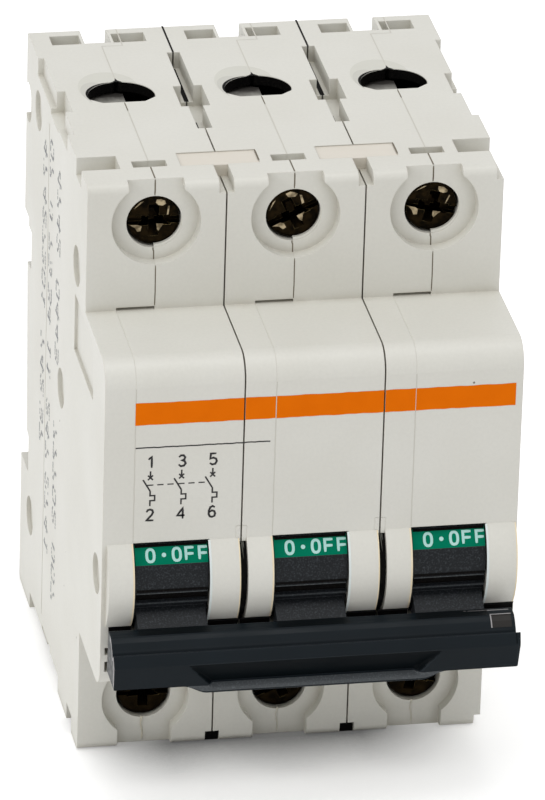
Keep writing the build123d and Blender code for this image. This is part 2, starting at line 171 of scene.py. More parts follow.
@dataclass(frozen=True)
class Finish:
    """A real material together with the process that made its surface."""

    name: str = "finish"
    edge_mm: float = 0.15
    roughness: float = 0.5

    def start(self) -> tuple[bpy.types.Material, bpy.types.NodeTree, bpy.types.NodeSocket]:
        """Makes an empty node material.

        Returns:
            The material, its tree, and the object coordinates in metres.
        """
        material = bpy.data.materials.new(self.name)
        material.use_nodes = True
        tree = material.node_tree
        tree.nodes.clear()
        place = add_node(tree, "ShaderNodeTexCoord").outputs["Object"]
        return material, tree, place

    def soft_edge(self, tree: bpy.types.NodeTree) -> tuple[bpy.types.Node, bpy.types.Node]:
        """Rounds the edges to the eye and finds where they are.

        Args:
            tree: The material's tree.

        Returns:
            The node whose normal has rounded edges, and one that is 1 along them and else 0.
        """
        edge = add_node(tree, "ShaderNodeBevel", {"samples": 6, "Radius": self.edge_mm * MM})
        flat = add_node(tree, "ShaderNodeNewGeometry")
        turn = add_node(tree, "ShaderNodeVectorMath", {"operation": "DOT_PRODUCT"},
                        {0: edge.outputs[0], 1: flat.outputs["True Normal"]})
        mask = add_node(tree, "ShaderNodeMapRange", {"From Min": 0.985, "From Max": 0.8},
                        {"Value": turn.outputs["Value"]})
        return edge, mask

    def two_tone(self, tree: bpy.types.NodeTree, place: bpy.types.NodeSocket, size_mm: float,
                 detail: float, tones: tuple[str, str]) -> tuple[bpy.types.Node, bpy.types.Node]:
        """Lets two tones drift into each other.

        Args:
            tree: The material's tree.
            place: The object coordinates.
            size_mm: How wide one patch is.
            detail: How ragged the patches are.
            tones: The two colours.

        Returns:
            The pattern, and the mixed colour.
        """
        pattern = add_node(tree, "ShaderNodeTexNoise",
                           {"Scale": per_metre(size_mm), "Detail": detail}, {"Vector": place})
        colour = add_node(tree, "ShaderNodeMix",
                          {"data_type": "RGBA", 6: linear(tones[0]), 7: linear(tones[1])},
                          {0: pattern.outputs["Fac"]})
        return pattern, colour

    def rubbed_edge(
        self, tree: bpy.types.NodeTree, colour: bpy.types.Node, tone: str,
        patches: bpy.types.NodeSocket | None = None,
    ) -> tuple[bpy.types.Node, bpy.types.Node]:
        """Rounds the edges to the eye and lightens them: wear and a painted highlight.

        Args:
            tree: The material's tree.
            colour: The mix that gives the colour so far.
            tone: What the edges show where they are lightened.
            patches: How strong the lightening is from place to place, where it isn't even.

        Returns:
            The node whose normal has rounded edges, and the colour.
        """
        edge, rim = self.soft_edge(tree)
        worn = rim
        if patches is not None:
            worn = add_node(tree, "ShaderNodeMath", {"operation": "MULTIPLY"},
                            {0: rim.outputs[0], 1: patches})
        rubbed = add_node(tree, "ShaderNodeMix", {"data_type": "RGBA", 7: linear(tone)},
                          {0: worn.outputs[0], 6: colour.outputs[2]})
        return edge, rubbed

    def sheen(self, tree: bpy.types.NodeTree, pattern: bpy.types.Node, smoother: float,
              rougher: float) -> bpy.types.Node:
        """Lets the roughness drift with a pattern.

        Args:
            tree: The material's tree.
            pattern: The noise it follows.
            smoother: How far it falls below the finish's own roughness.
            rougher: How far it rises above it.

        Returns:
            The node whose output is the roughness.
        """
        return add_node(tree, "ShaderNodeMapRange",
                        {"To Min": self.roughness - smoother, "To Max": self.roughness + rougher},
                        {"Value": pattern.outputs["Fac"]})

    def end(self, tree: bpy.types.NodeTree, shader: bpy.types.Node) -> None:
        """Joins the shader to the material's output."""
        add_node(tree, "ShaderNodeOutputMaterial", {}, {"Surface": shader.outputs[0]})


@dataclass(frozen=True)
class MouldedPolyamide(Finish):
    """Glass-filled polyamide 66, injection moulded in a spark-eroded tool.

    The eye sees a pale warm grey with faint cloudy yellowing, a fine even grain that breaks the
    highlights, soft moulded edges lightened by wear and a painted highlight, painted shade and
    some soiling in the corners, and a few stray dark specks.
    """

    name: str = "glass_filled_polyamide_moulded"
    light: str = "#DBDAD3"
    shade: str = "#D2D0C7"
    # The brown tone of the corners' painted shade and soiling.
    dirt: str = "#A39C8B"
    # The cream that edges are lightened to: wear and a painted highlight.
    rubbed: str = "#EFEBDD"
    speck: str = "#6E675C"
    cloud_mm: float = 14.0
    grime_mm: float = 3.0
    corner_mm: float = 1.6
    speck_every_mm: float = 7.0
    speck_share: float = 0.022
    grain_mm: float = 0.45
    mottling: float = 0.015
    edge_mm: float = 0.16
    roughness: float = 0.44

    def build(self) -> bpy.types.Material:
        """Builds the node material.

        Returns:
            The material.
        """
        material, tree, place = self.start()
        cloud, tone = self.two_tone(tree, place, self.cloud_mm, 3.0, (self.light, self.shade))
        # Glass fibres near the skin show as a mottle about half a millimetre across.
        mottle = add_node(tree, "ShaderNodeTexNoise",
                          {"Scale": per_metre(self.grain_mm), "Detail": 2.0}, {"Vector": place})
        shift = add_node(tree, "ShaderNodeMapRange",
                         {"From Min": 0.3, "From Max": 0.7, "To Min": 1 - self.mottling,
                          "To Max": 1 + self.mottling}, {"Value": mottle.outputs["Fac"]})
        grained = add_node(tree, "ShaderNodeVectorMath", {"operation": "SCALE"},
                           {0: tone.outputs[2], "Scale": shift.outputs[0]})
        # Stray specks of soot in the moulding, one or two to a square centimetre.
        cells = add_node(tree, "ShaderNodeTexVoronoi", {"Scale": per_metre(self.speck_every_mm)},
                         {"Vector": place})
        near = add_node(tree, "ShaderNodeMath", {"operation": "LESS_THAN", 1: self.speck_share},
                        {0: cells.outputs["Distance"]})
        specked = add_node(tree, "ShaderNodeMix", {"data_type": "RGBA", 7: linear(self.speck)},
                           {0: near.outputs[0], 6: grained.outputs[0]})
        # Painted shade and some soiling: corners darken in patches towards the brown tone.
        corner = add_node(tree, "ShaderNodeAmbientOcclusion",
                          {"samples": 8, "Distance": self.corner_mm * MM})
        patchy = add_node(tree, "ShaderNodeTexNoise",
                          {"Scale": per_metre(self.grime_mm), "Detail": 4.0}, {"Vector": place})
        closed = add_node(tree, "ShaderNodeMapRange",
                          {"From Min": 0.95, "From Max": 0.35, "To Min": 0.0, "To Max": 0.75},
                          {"Value": corner.outputs["AO"]})
        darkening = add_node(tree, "ShaderNodeMath", {"operation": "MULTIPLY"},
                         {0: closed.outputs[0], 1: patchy.outputs["Fac"]})
        soiled_and_shaded = add_node(tree, "ShaderNodeMix", {"data_type": "RGBA", 7: linear(self.dirt)},
                          {0: darkening.outputs[0], 6: specked.outputs[2]})
        # Edges are lightened to a cream tone: partly wear from fingers and from the neighbours on
        # the rail, partly a painted highlight.
        edge, colour = self.rubbed_edge(tree, soiled_and_shaded, self.rubbed, patchy.outputs["Fac"])
        rough = self.sheen(tree, cloud, 0.05, 0.08)
        grain = add_node(tree, "ShaderNodeBump", {"Strength": 0.25, "Distance": 0.01 * MM},
                         {"Height": mottle.outputs["Fac"], "Normal": edge.outputs[0]})
        shader = add_node(tree, "ShaderNodeBsdfPrincipled", {"IOR": POLYAMIDE_IOR},
                          {"Base Color": colour.outputs[2], "Roughness": rough.outputs[0],
                           "Normal": grain.outputs[0]})
        self.end(tree, shader)
        return material


@dataclass(frozen=True)
class SpeckledPolyamide(Finish):
    """Charcoal glass-filled polyamide, injection moulded.

    The eye sees a near-black part with grey fibre specks and a soft satin sheen.
    """

    name: str = "charcoal_polyamide_moulded"
    base: str = "#15181B"
    fleck: str = "#3B3F43"
    gloss: float = 0.15
    grain_mm: float = 0.22
    roughness: float = 0.42
    edge_mm: float = 0.12

    def build(self) -> bpy.types.Material:
        """Builds the node material.

        Returns:
            The material.
        """
        material, tree, place = self.start()
        fibres = add_node(tree, "ShaderNodeTexNoise",
                          {"Scale": per_metre(self.grain_mm), "Detail": 3.0, "Roughness": 0.6},
                          {"Vector": place})
        flecks = add_node(tree, "ShaderNodeMapRange", {"From Min": 0.5, "From Max": 0.75},
                          {"Value": fibres.outputs["Fac"]})
        colour = add_node(tree, "ShaderNodeMix",
                          {"data_type": "RGBA", 6: linear(self.base), 7: linear(self.fleck)},
                          {0: flecks.outputs[0]})
        # Edges lightened to the fleck tone: wear and a painted highlight.
        edge, rubbed = self.rubbed_edge(tree, colour, self.fleck)
        grain = add_node(tree, "ShaderNodeBump", {"Strength": 0.35, "Distance": 0.015 * MM},
                         {"Height": fibres.outputs["Fac"], "Normal": edge.outputs[0]})
        rough = self.sheen(tree, fibres, 0.08, 0.12)
        shader = add_node(tree, "ShaderNodeBsdfPrincipled",
                          {"IOR": POLYAMIDE_IOR, "Specular IOR Level": self.gloss},
                          {"Base Color": rubbed.outputs[2], "Roughness": rough.outputs[0],
                           "Normal": grain.outputs[0]})
        self.end(tree, shader)
        return material


@dataclass(frozen=True)
class SmoothPolyamide(Finish):
    """Unfilled polyamide, moulded in a polished tool, for the tie bar, keys and clips.

    The eye sees an even colour with a slow drift, a clean satin highlight and fine scuffs.
    """

    name: str = "polyamide_moulded_satin"
    base: str = "#10161A"
    drift: str = "#161D22"
    rubbed: str = "#39424A"
    roughness: float = 0.34
    gloss: float = 0.14
    drift_mm: float = 9.0
    scuff_mm: float = 0.8
    edge_mm: float = 0.15

    def build(self) -> bpy.types.Material:
        """Builds the node material.

        Returns:
            The material.
        """
        material, tree, place = self.start()
        _, colour = self.two_tone(tree, place, self.drift_mm, 2.0, (self.base, self.drift))
        along = add_node(tree, "ShaderNodeMapping", {"Scale": (0.12, 1.0, 1.0)}, {"Vector": place})
        scuffs = add_node(tree, "ShaderNodeTexNoise",
                          {"Scale": per_metre(self.scuff_mm), "Detail": 5.0},
                          {"Vector": along.outputs[0]})
        rough = add_node(tree, "ShaderNodeMapRange",
                         {"From Min": 0.35, "From Max": 0.7, "To Min": self.roughness - 0.05,
                          "To Max": self.roughness + 0.14}, {"Value": scuffs.outputs["Fac"]})
        # Edges lightened, patchy with the scuffs: wear and a painted highlight.
        edge, rubbed = self.rubbed_edge(tree, colour, self.rubbed, scuffs.outputs["Fac"])
        shader = add_node(tree, "ShaderNodeBsdfPrincipled",
                          {"IOR": POLYAMIDE_IOR, "Specular IOR Level": self.gloss},
                          {"Base Color": rubbed.outputs[2], "Roughness": rough.outputs[0],
                           "Normal": edge.outputs[0]})
        self.end(tree, shader)
        return material


@dataclass(frozen=True)
class SootedPolyamide(Finish):
    """Pale polyamide of the guide lip, with painted shade that darkens it towards the rear.

    The eye sees a pale edge at the front that darkens in a ragged drift to the rear, deeper in the
    hole.
    """

    name: str = "polyamide_lip_painted_shade"
    # Tones from the lit front to the painted shade at the rear.
    clean: str = "#BDBBB3"
    soot: str = "#2B2825"
    front_y: float = 15.9
    rear_y: float = 18.7
    drift_mm: float = 0.9
    wander_mm: float = 1.4
    roughness: float = 0.6

    def build(self) -> bpy.types.Material:
        """Builds the node material.

        Returns:
            The material.
        """
        material, tree, place = self.start()
        axes = add_node(tree, "ShaderNodeSeparateXYZ", {}, {0: place})
        ragged_drift = add_node(tree, "ShaderNodeTexNoise",
                         {"Scale": per_metre(self.drift_mm), "Detail": 4.0}, {"Vector": place})
        bend = add_node(tree, "ShaderNodeMath",
                        {"operation": "MULTIPLY_ADD", 1: self.wander_mm * MM},
                        {0: ragged_drift.outputs["Fac"], 2: axes.outputs["Y"]})
        front, rear = (y + self.wander_mm / 2 for y in (self.front_y, self.rear_y))
        depth = add_node(tree, "ShaderNodeMapRange",
                         {"From Min": front * MM, "From Max": rear * MM},
                         {"Value": bend.outputs[0]})
        # Painted shade: pale at the front, darker towards the rear.
        colour = add_node(tree, "ShaderNodeMix",
                          {"data_type": "RGBA", 6: linear(self.clean), 7: linear(self.soot)},
                          {0: depth.outputs[0]})
        edge, _ = self.soft_edge(tree)
        shader = add_node(tree, "ShaderNodeBsdfPrincipled",
                          {"IOR": POLYAMIDE_IOR, "Roughness": self.roughness},
                          {"Base Color": colour.outputs[2], "Normal": edge.outputs[0]})
        self.end(tree, shader)
        return material


@dataclass(frozen=True)
class PlatedSteel(Finish):
    """Steel, zinc plated and passivated, browned by age.

    The eye sees a dark bronze that is bright only along edges: wear through the film, and painted
    glints.
    """

    name: str = "steel_yellow_passivated"
    bright: str = "#D9BE82"
    film: str = "#1C150B"
    stain: str = "#0B0906"
    stain_mm: float = 1.1
    roughness: float = 0.3
    edge_mm: float = 0.09

    def build(self) -> bpy.types.Material:
        """Builds the node material.

        Returns:
            The material.
        """
        material, tree, place = self.start()
        stains = add_node(tree, "ShaderNodeTexNoise",
                          {"Scale": per_metre(self.stain_mm), "Detail": 4.0}, {"Vector": place})
        browned = add_node(tree, "ShaderNodeMapRange", {"From Min": 0.4, "From Max": 0.62},
                           {"Value": stains.outputs["Fac"]})
        colour = add_node(tree, "ShaderNodeMix",
                          {"data_type": "RGBA", 6: linear(self.film), 7: linear(self.stain)},
                          {0: browned.outputs[0]})
        rough = self.sheen(tree, stains, 0.08, 0.2)
        patchy = add_node(tree, "ShaderNodeMapRange",
                          {"From Min": 0.45, "From Max": 0.7, "To Max": 0.5},
                          {"Value": stains.outputs["Fac"]})
        # Edges brightened in patches: wear through the film and painted glints.
        edge, tone = self.rubbed_edge(tree, colour, self.bright, patchy.outputs[0])
        shader = add_node(tree, "ShaderNodeBsdfPrincipled", {"Metallic": 1.0},
                          {"Base Color": tone.outputs[2], "Roughness": rough.outputs[0],
                           "Normal": edge.outputs[0]})
        self.end(tree, shader)
        return material


@dataclass(frozen=True)
class PrintedInk(Finish):
    """Pad-printed ink, a few hundredths of a millimetre thick.

    The eye sees a flat matt colour that is a little uneven where the pad lifted.
    """

    name: str = "pad_ink"
    ink: str = "#EA7200"
    thin: str = "#E06A00"
    uneven_mm: float = 2.5
    ior: float = 1.5
    gloss: float = 0.3

    def build(self) -> bpy.types.Material:
        """Builds the node material.

        Returns:
            The material.
        """
        material, tree, place = self.start()
        lift, colour = self.two_tone(tree, place, self.uneven_mm, 5.0, (self.ink, self.thin))
        rough = self.sheen(tree, lift, 0.06, 0.1)
        shader = add_node(tree, "ShaderNodeBsdfPrincipled",
                          {"IOR": self.ior, "Specular IOR Level": self.gloss},
                          {"Base Color": colour.outputs[2], "Roughness": rough.outputs[0]})
        self.end(tree, shader)
        return material


class Paintshop:
    """Every finish of the breaker, each built once."""

    def __init__(self) -> None:
        """Builds the materials."""
        self.case = MouldedPolyamide().build()
        self.toggle = SpeckledPolyamide().build()
        self.bar = SmoothPolyamide(gloss=0.1).build()
        # Painted shadow in front of the levers on the tie bar.
        self.bar_mark = SmoothPolyamide("polyamide_lever_painted_shade", base="#0C0F11",
                                        drift="#101416").build()
        self.key = SmoothPolyamide("polyamide_key", base="#DAD4C9", drift="#D4CDC0",
                                   rubbed="#EFE8E0", roughness=0.4, gloss=0.5).build()
        self.clip = SmoothPolyamide("polyamide_clip", base="#D6D4CB", drift="#CECBC0",
                                    rubbed="#EDE9DC", roughness=0.4, gloss=0.5).build()
        # The screws' near-black film is partly painted shade, for heads deep in their wells.
        self.screw = PlatedSteel().build()
        self.clamp = PlatedSteel("steel_zinc_plated", bright="#8F8E88", film="#2E2C29",
                                 stain="#161412").build()
        # Pale brass of the painted glints on the upper screw heads.
        self.brass = PlatedSteel("brass_painted_glint", bright="#D8CBAE", film="#A5967A",
                                 stain="#5E5340").build()
        # The guide lip, with painted shade darkening it to the rear.
        self.lip = SootedPolyamide().build()
        self.stripe = PrintedInk("orange_pad_ink", gloss=0.04).build()
        self.black_ink = PrintedInk("black_pad_ink", ink="#1B1A1B", thin="#2A292A").build()
        self.jet_ink = PrintedInk("grey_jet_ink", ink="#6E7075", thin="#8A8B8D").build()
        self.pale_foil = PrintedInk("pale_hot_foil", ink="#B6DDD8", thin="#A0CFC8").build()
        self.flag = PrintedInk("green_hot_foil", ink="#007A5C", thin="#006B50", gloss=0.03).build()
        self.line_dirt = PrintedInk("parting_line_dirt", ink="#4A4133", thin="#7C7362").build()
        self.line_faint = PrintedInk("parting_line_clean", ink="#C4C1B7", thin="#CECBC2").build()
        # Lighter charcoal: painted highlights on drum ridges and lever edges, and the chamber
        # shelf.
        self.ridge = SpeckledPolyamide("charcoal_polyamide_highlight_grey", base="#3E4244",
                                       fleck="#5A5E60").build()
        self.flash = SmoothPolyamide("polyamide_flash_torn", base="#DDD8C8", drift="#CFC8B4",
                                     rubbed="#F2EDDF", roughness=0.5, gloss=0.5).build()
        # Painted highlights along the cheeks' edges.
        self.cream = PrintedInk("polyamide_edge_painted_highlight", ink="#F1E4C8", thin="#E2D2B0").build()
        # Painted shade of the dish behind each upper hole, and its deeper part on the left.
        self.dish = PrintedInk("polyamide_dish_painted_shade", ink="#CDCCC3", thin="#D3D2C9").build()
        self.dish_deep = PrintedInk("polyamide_dish_deeper_shade", ink="#C3C2BA", thin="#CAC9C1").build()
        # Painted highlight down the inner flank of each cheek.
        self.flank = PrintedInk("polyamide_flank_painted_highlight", ink="#E3EAE8", thin="#D4DCDA").build()
        self.recess = PrintedInk("polyamide_in_shade", ink="#5C5C55", thin="#45453F").build()
        # Pale lines of the slide's witness, and the painted highlight of the bar's left rim.
        self.rim = PrintedInk("polyamide_pale_marks_and_highlight", ink="#A9A6A6", thin="#8B898B").build()
        # Painted highlight along the sloped top of the bar's lip.
        self.lip_rub = SpeckledPolyamide("polyamide_lip_painted_highlight", base="#3A3E41", fleck="#54595C",
                                         gloss=0.3).build()
        # Painted shade on the floor of the thumb scoop.
        self.scoop = SmoothPolyamide("polyamide_scoop_painted_shade", base="#0A0E11", drift="#0C1215",
                                     rubbed="#0C1012", gloss=0.03).build()
        self.stain = PrintedInk("polyamide_slide_stain", ink="#1B1714", thin="#12100E").build()
        # Black painted shade for chambers, gaps, grooves and recesses.
        self.soot = SpeckledPolyamide("black_painted_shade", base="#0B0A0A", fleck="#1D1B19",
                                      gloss=0.03).build()


@dataclass(frozen=True)
class Housing:
    """The carried-over CAD nodes, which keep their meshes and get a finish each."""

    shop: Paintshop

    def dress(self, nodes: dict[str, bpy.types.Object]) -> None:
        """Gives each carried-over node its finish.

        Args:
            nodes: The nodes by name.
        """
        shop = self.shop
        looks = {
            "case_left": shop.case, "case_right": shop.case, "toggle": shop.toggle,
            "off_flag": shop.flag, "rail_clip": shop.clip, "upper_screw": shop.screw,
            "lower_screw": shop.screw, "upper_clamp": shop.clamp, "lower_clamp": shop.clamp,
            "link_key_upper": shop.key, "link_key_lower": shop.key, "handle_tie_bar": shop.bar,
        }
        for name, node in nodes.items():
            stem = name.rstrip("0123456789").rstrip("_")
            node.data.materials.clear()
            node.data.materials.append(looks[stem])
            LOG.info("dressed %s", name)


@dataclass
class Draft:
    """One piece while it is shaped, in millimetres of the shared frame."""

    name: str
    points: list[Vector] = field(default_factory=list)
    faces: list[tuple[int, ...]] = field(default_factory=list)

    def face(self, corners: Sequence[Vector]) -> None:
        """Adds one face from its corners.

        Args:
            corners: Its corners, in order.
        """
        start = len(self.points)
        self.points += [Vector(c) for c in corners]
        self.faces.append(tuple(range(start, start + len(corners))))

    def skin(self, rings: Sequence[Sequence[Vector]], closed: bool = True) -> None:
        """Joins a run of rings of equal length with four-sided faces.

        Args:
            rings: The rings, in order.
            closed: Whether each ring's last point joins its first.
        """
        start, size = len(self.points), len(rings[0])
        for ring in rings:
            self.points += [Vector(c) for c in ring]
        for row in range(len(rings) - 1):
            for step in range(size if closed else size - 1):
                a, b = start + row * size + step, start + row * size + (step + 1) % size
                self.faces.append((a, b, b + size, a + size))

    def slab(self, outline: Sequence[Vector], push: Vector) -> None:
        """Adds a closed slab: an outline, its copy moved by push, and the rim between.

        Args:
            outline: The corners of its near side.
            push: The way from its near side to its far side.
        """
        far = [Vector(c) + push for c in outline]
        self.face(list(reversed(outline)))
        self.face(far)
        self.skin([outline, far])

    def mesh(self, scale: float, outward: bool = False) -> bpy.types.Mesh:
        """Makes the mesh, with the points that coincide merged.

        Args:
            scale: What one millimetre of the draft becomes.
            outward: Whether the faces of a closed solid are turned outwards.

        Returns:
            The new mesh.
        """
        mesh = bpy.data.meshes.new(self.name)
        mesh.from_pydata([tuple(p * scale) for p in self.points], [], self.faces)
        work = bmesh.new()
        work.from_mesh(mesh)
        bmesh.ops.remove_doubles(work, verts=work.verts, dist=0.0005 * scale)
        if outward:
            bmesh.ops.recalc_face_normals(work, faces=work.faces)
        work.to_mesh(mesh)
        work.free()
        return mesh

    def place(self, finish: bpy.types.Material, body: Body = Body.HOUSING,
              slot: Slot = Slot.CASE, replaced: Sequence[str] = ()) -> None:
        """Makes the object, gives it its finish and hangs it on a body.

        Args:
            finish: Its material.
            body: The body it rides on.
            slot: The record's slot that the finish belongs to; not used.
            replaced: The CAD nodes that it stands for.
        """
        mesh = self.mesh(MM)
        mesh.materials.append(finish)
        thing = add_object(self.name, mesh)
        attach(thing, body.value)
        if replaced:
            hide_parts(*replaced)
        LOG.info("made %s with %d faces", self.name, len(mesh.polygons))


class Facing(Enum):
    """The flat faces that ink or dirt can lie on, by the number of their normal's axis."""

    SIDE = 0
    FRONT = 1
    TOP = 2


@dataclass(frozen=True)
class FlatFace:
    """A flat face of the housing."""

    facing: Facing
    level: float
    outward: float

    def at(self, across: float, along: float, lift: float) -> Vector:
        """Gives the point of the frame for a place on the face, raised by lift.

        Args:
            across: The place along the face's first axis.
            along: The place along its second axis.
            lift: How far the point is raised.

        Returns:
            The point.
        """
        spot = [across, along]
        spot.insert(self.facing.value, self.level + self.outward * lift)
        return Vector(spot)


TOP_FACE = FlatFace(Facing.TOP, HEIGHT, 1)
GROOVE_FACE = FlatFace(Facing.FRONT, GROOVE_Y, -1)
SHOULDER_FACE = FlatFace(Facing.FRONT, SHOULDER_Y, -1)
NOSE_FACE = FlatFace(Facing.FRONT, NOSE_Y, -1)


@dataclass(frozen=True)
class DrumFace:
    """A round face about the handle's axis, measured along its arc: the toggle drum's."""

    radius: float = 7.9

    def arc(self, degrees: float) -> float:
        """Gives the place along the arc that lies at an angle over the axis."""
        return math.radians(degrees) * self.radius

    def at(self, across: float, along: float, lift: float) -> Vector:
        """Gives the point of the frame for a place on the drum, raised by lift."""
        angle, out = along / self.radius, self.radius + lift
        return Vector((across, AXIS_Y - out * math.cos(angle), AXIS_Z + out * math.sin(angle)))

    def band(self, draft: Draft, sides: Point, angles: Point, parts: int, lift: float) -> None:
        """Lays a band that follows the face.

        Args:
            draft: The piece it belongs to.
            sides: The x of its left and its right edge.
            angles: Where it starts and ends, in degrees over the axis.
            parts: How many flat faces it has.
            lift: How far it is raised.
        """
        rows = [self.arc(angle) for angle in evenly(*angles, parts)]
        draft.skin([[self.at(x, row, lift) for x in sides] for row in rows], closed=False)


@dataclass
class Pen:
    """Lays thin marks on one face, at five heights in turn, so that crossing strokes differ."""

    draft: Draft
    face: FlatFace | DrumFace
    base: float = 0.015
    layer: float = 0.0015
    layers: int = 5
    step: float = 0.45
    strokes: int = 0

    def lift(self) -> float:
        """Gives the height of the next stroke over the face."""
        self.strokes += 1
        return self.base + self.layer * (self.strokes % self.layers)

    def fill(self, outline: Sequence[Point]) -> None:
        """Fills an outline."""
        lift = self.lift()
        self.draft.face([self.face.at(u, v, lift) for u, v in outline])

    def line(self, path: Sequence[Point], width: float, closed: bool = False,
             taper: float = 1.0) -> None:
        """Draws one stroke with mitred corners.

        Args:
            path: Its corners.
            width: Its width in millimetres.
            closed: Whether it ends where it starts.
            taper: The width of its ends as a share of its width.
        """
        fine: list[Vector] = []
        runs = list(zip(path, path[1:])) + ([(path[-1], path[0])] if closed else [])
        for start, end in runs:
            a, b = Vector(start), Vector(end)
            parts = max(1, math.ceil((b - a).length / self.step))
            fine += [a.lerp(b, part / parts) for part in range(parts)]
        if not closed:
            fine.append(Vector(path[-1]))
        count, lift = len(fine), self.lift()
        pairs = []
        for number, spot in enumerate(fine):
            before = fine[number - 1] if closed or number else spot
            after = fine[(number + 1) % count] if closed or number + 1 < count else spot
            first, second = (spot - before), (after - spot)
            first = first.normalized() if first.length > 1e-9 else second.normalized()
            second = second.normalized() if second.length > 1e-9 else first
            mean = (first + second).normalized() if (first + second).length > 1e-6 else first
            side = Vector((-mean.y, mean.x))
            reach = min(1.5, 1.0 / max(0.3, mean.dot(second)))
            end = not closed and number in (0, count - 1)
            half = width / 2 * (taper if end else reach)
            pairs.append([self.face.at(*(spot + side * half), lift),
                          self.face.at(*(spot - side * half), lift)])
        if closed:
            pairs.append(pairs[0])
        self.draft.skin(pairs, closed=False)

    def dot(self, centre: Point, radius: float, sides: int = 12) -> None:
        """Draws one round dot."""
        self.fill([on_circle(centre, radius, math.tau * step / sides) for step in range(sides)])


@dataclass
class Lettering:
    """Plain upright figures and letters drawn by strokes, each on a grid one unit tall."""

    wide: float = 0.62
    squareness: float = 0.8
    loop_sides: int = 20
    end_taper: float = 0.75

    def loop(self) -> list[Point]:
        """Gives the rounded ring of a nought.

        Returns:
            The points of the ring.
        """
        ring, half = [], self.wide / 2
        for step in range(self.loop_sides):
            c, s = on_circle((0, 0), 1, math.tau * step / self.loop_sides)
            ring.append((half + half * math.copysign(abs(c) ** self.squareness, c),
                         0.5 + 0.5 * math.copysign(abs(s) ** self.squareness, s)))
        return ring

    def strokes(self, sign: str) -> list[list[Point]]:
        """Gives the strokes of one sign.

        Args:
            sign: A figure or a letter.

        Returns:
            One path for each stroke.
        """
        w = self.wide
        shapes: dict[str, list[list[Point]]] = {
            "0": [self.loop()],
            "O": [self.loop()],
            "F": [[(0, 0), (0, 1), (w, 1)], [(0, 0.5), (w * 0.95, 0.5)]],
            "1": [[(w * 0.15, 0.76), (w * 0.6, 1), (w * 0.6, 0)]],
            "2": [[(0.03, 0.76), (0.12, 0.94), (0.31, 1), (0.5, 0.93), (0.57, 0.74),
                   (0.47, 0.5), (0.02, 0), (w, 0)]],
            "3": [[(0.04, 0.84), (0.2, 0.99), (0.42, 0.98), (0.55, 0.8), (0.48, 0.6),
                   (0.27, 0.53), (0.5, 0.46), (0.6, 0.25), (0.46, 0.04), (0.2, 0), (0.02, 0.17)]],
            "4": [[(0.46, 0), (0.46, 1), (0, 0.3), (w, 0.3)]],
            "5": [[(0.55, 1), (0.1, 1), (0.06, 0.54), (0.3, 0.62), (0.53, 0.52), (0.6, 0.29),
                   (0.48, 0.05), (0.22, 0), (0.02, 0.15)]],
            "6": [[(0.54, 0.88), (0.36, 1), (0.17, 0.9), (0.05, 0.6), (0.04, 0.28), (0.14, 0.06),
                   (0.32, 0), (0.52, 0.09), (0.58, 0.3), (0.5, 0.52), (0.3, 0.6), (0.08, 0.44)]],
        }
        return shapes[sign]

    def write(self, pen: Pen, sign: str, spot: Point, tall: float, width: float,
              stretch: float = 1.0) -> None:
        """Writes one sign.

        Args:
            pen: The pen that draws it.
            sign: The sign.
            spot: Its lower left corner.
            tall: Its height in millimetres.
            width: The stroke's width in millimetres.
            stretch: How much wider than usual the sign is.
        """
        for path in self.strokes(sign):
            placed = [(spot[0] + u * tall * stretch, spot[1] + v * tall) for u, v in path]
            pen.line(placed, width, closed=sign in "0O", taper=self.end_taper)


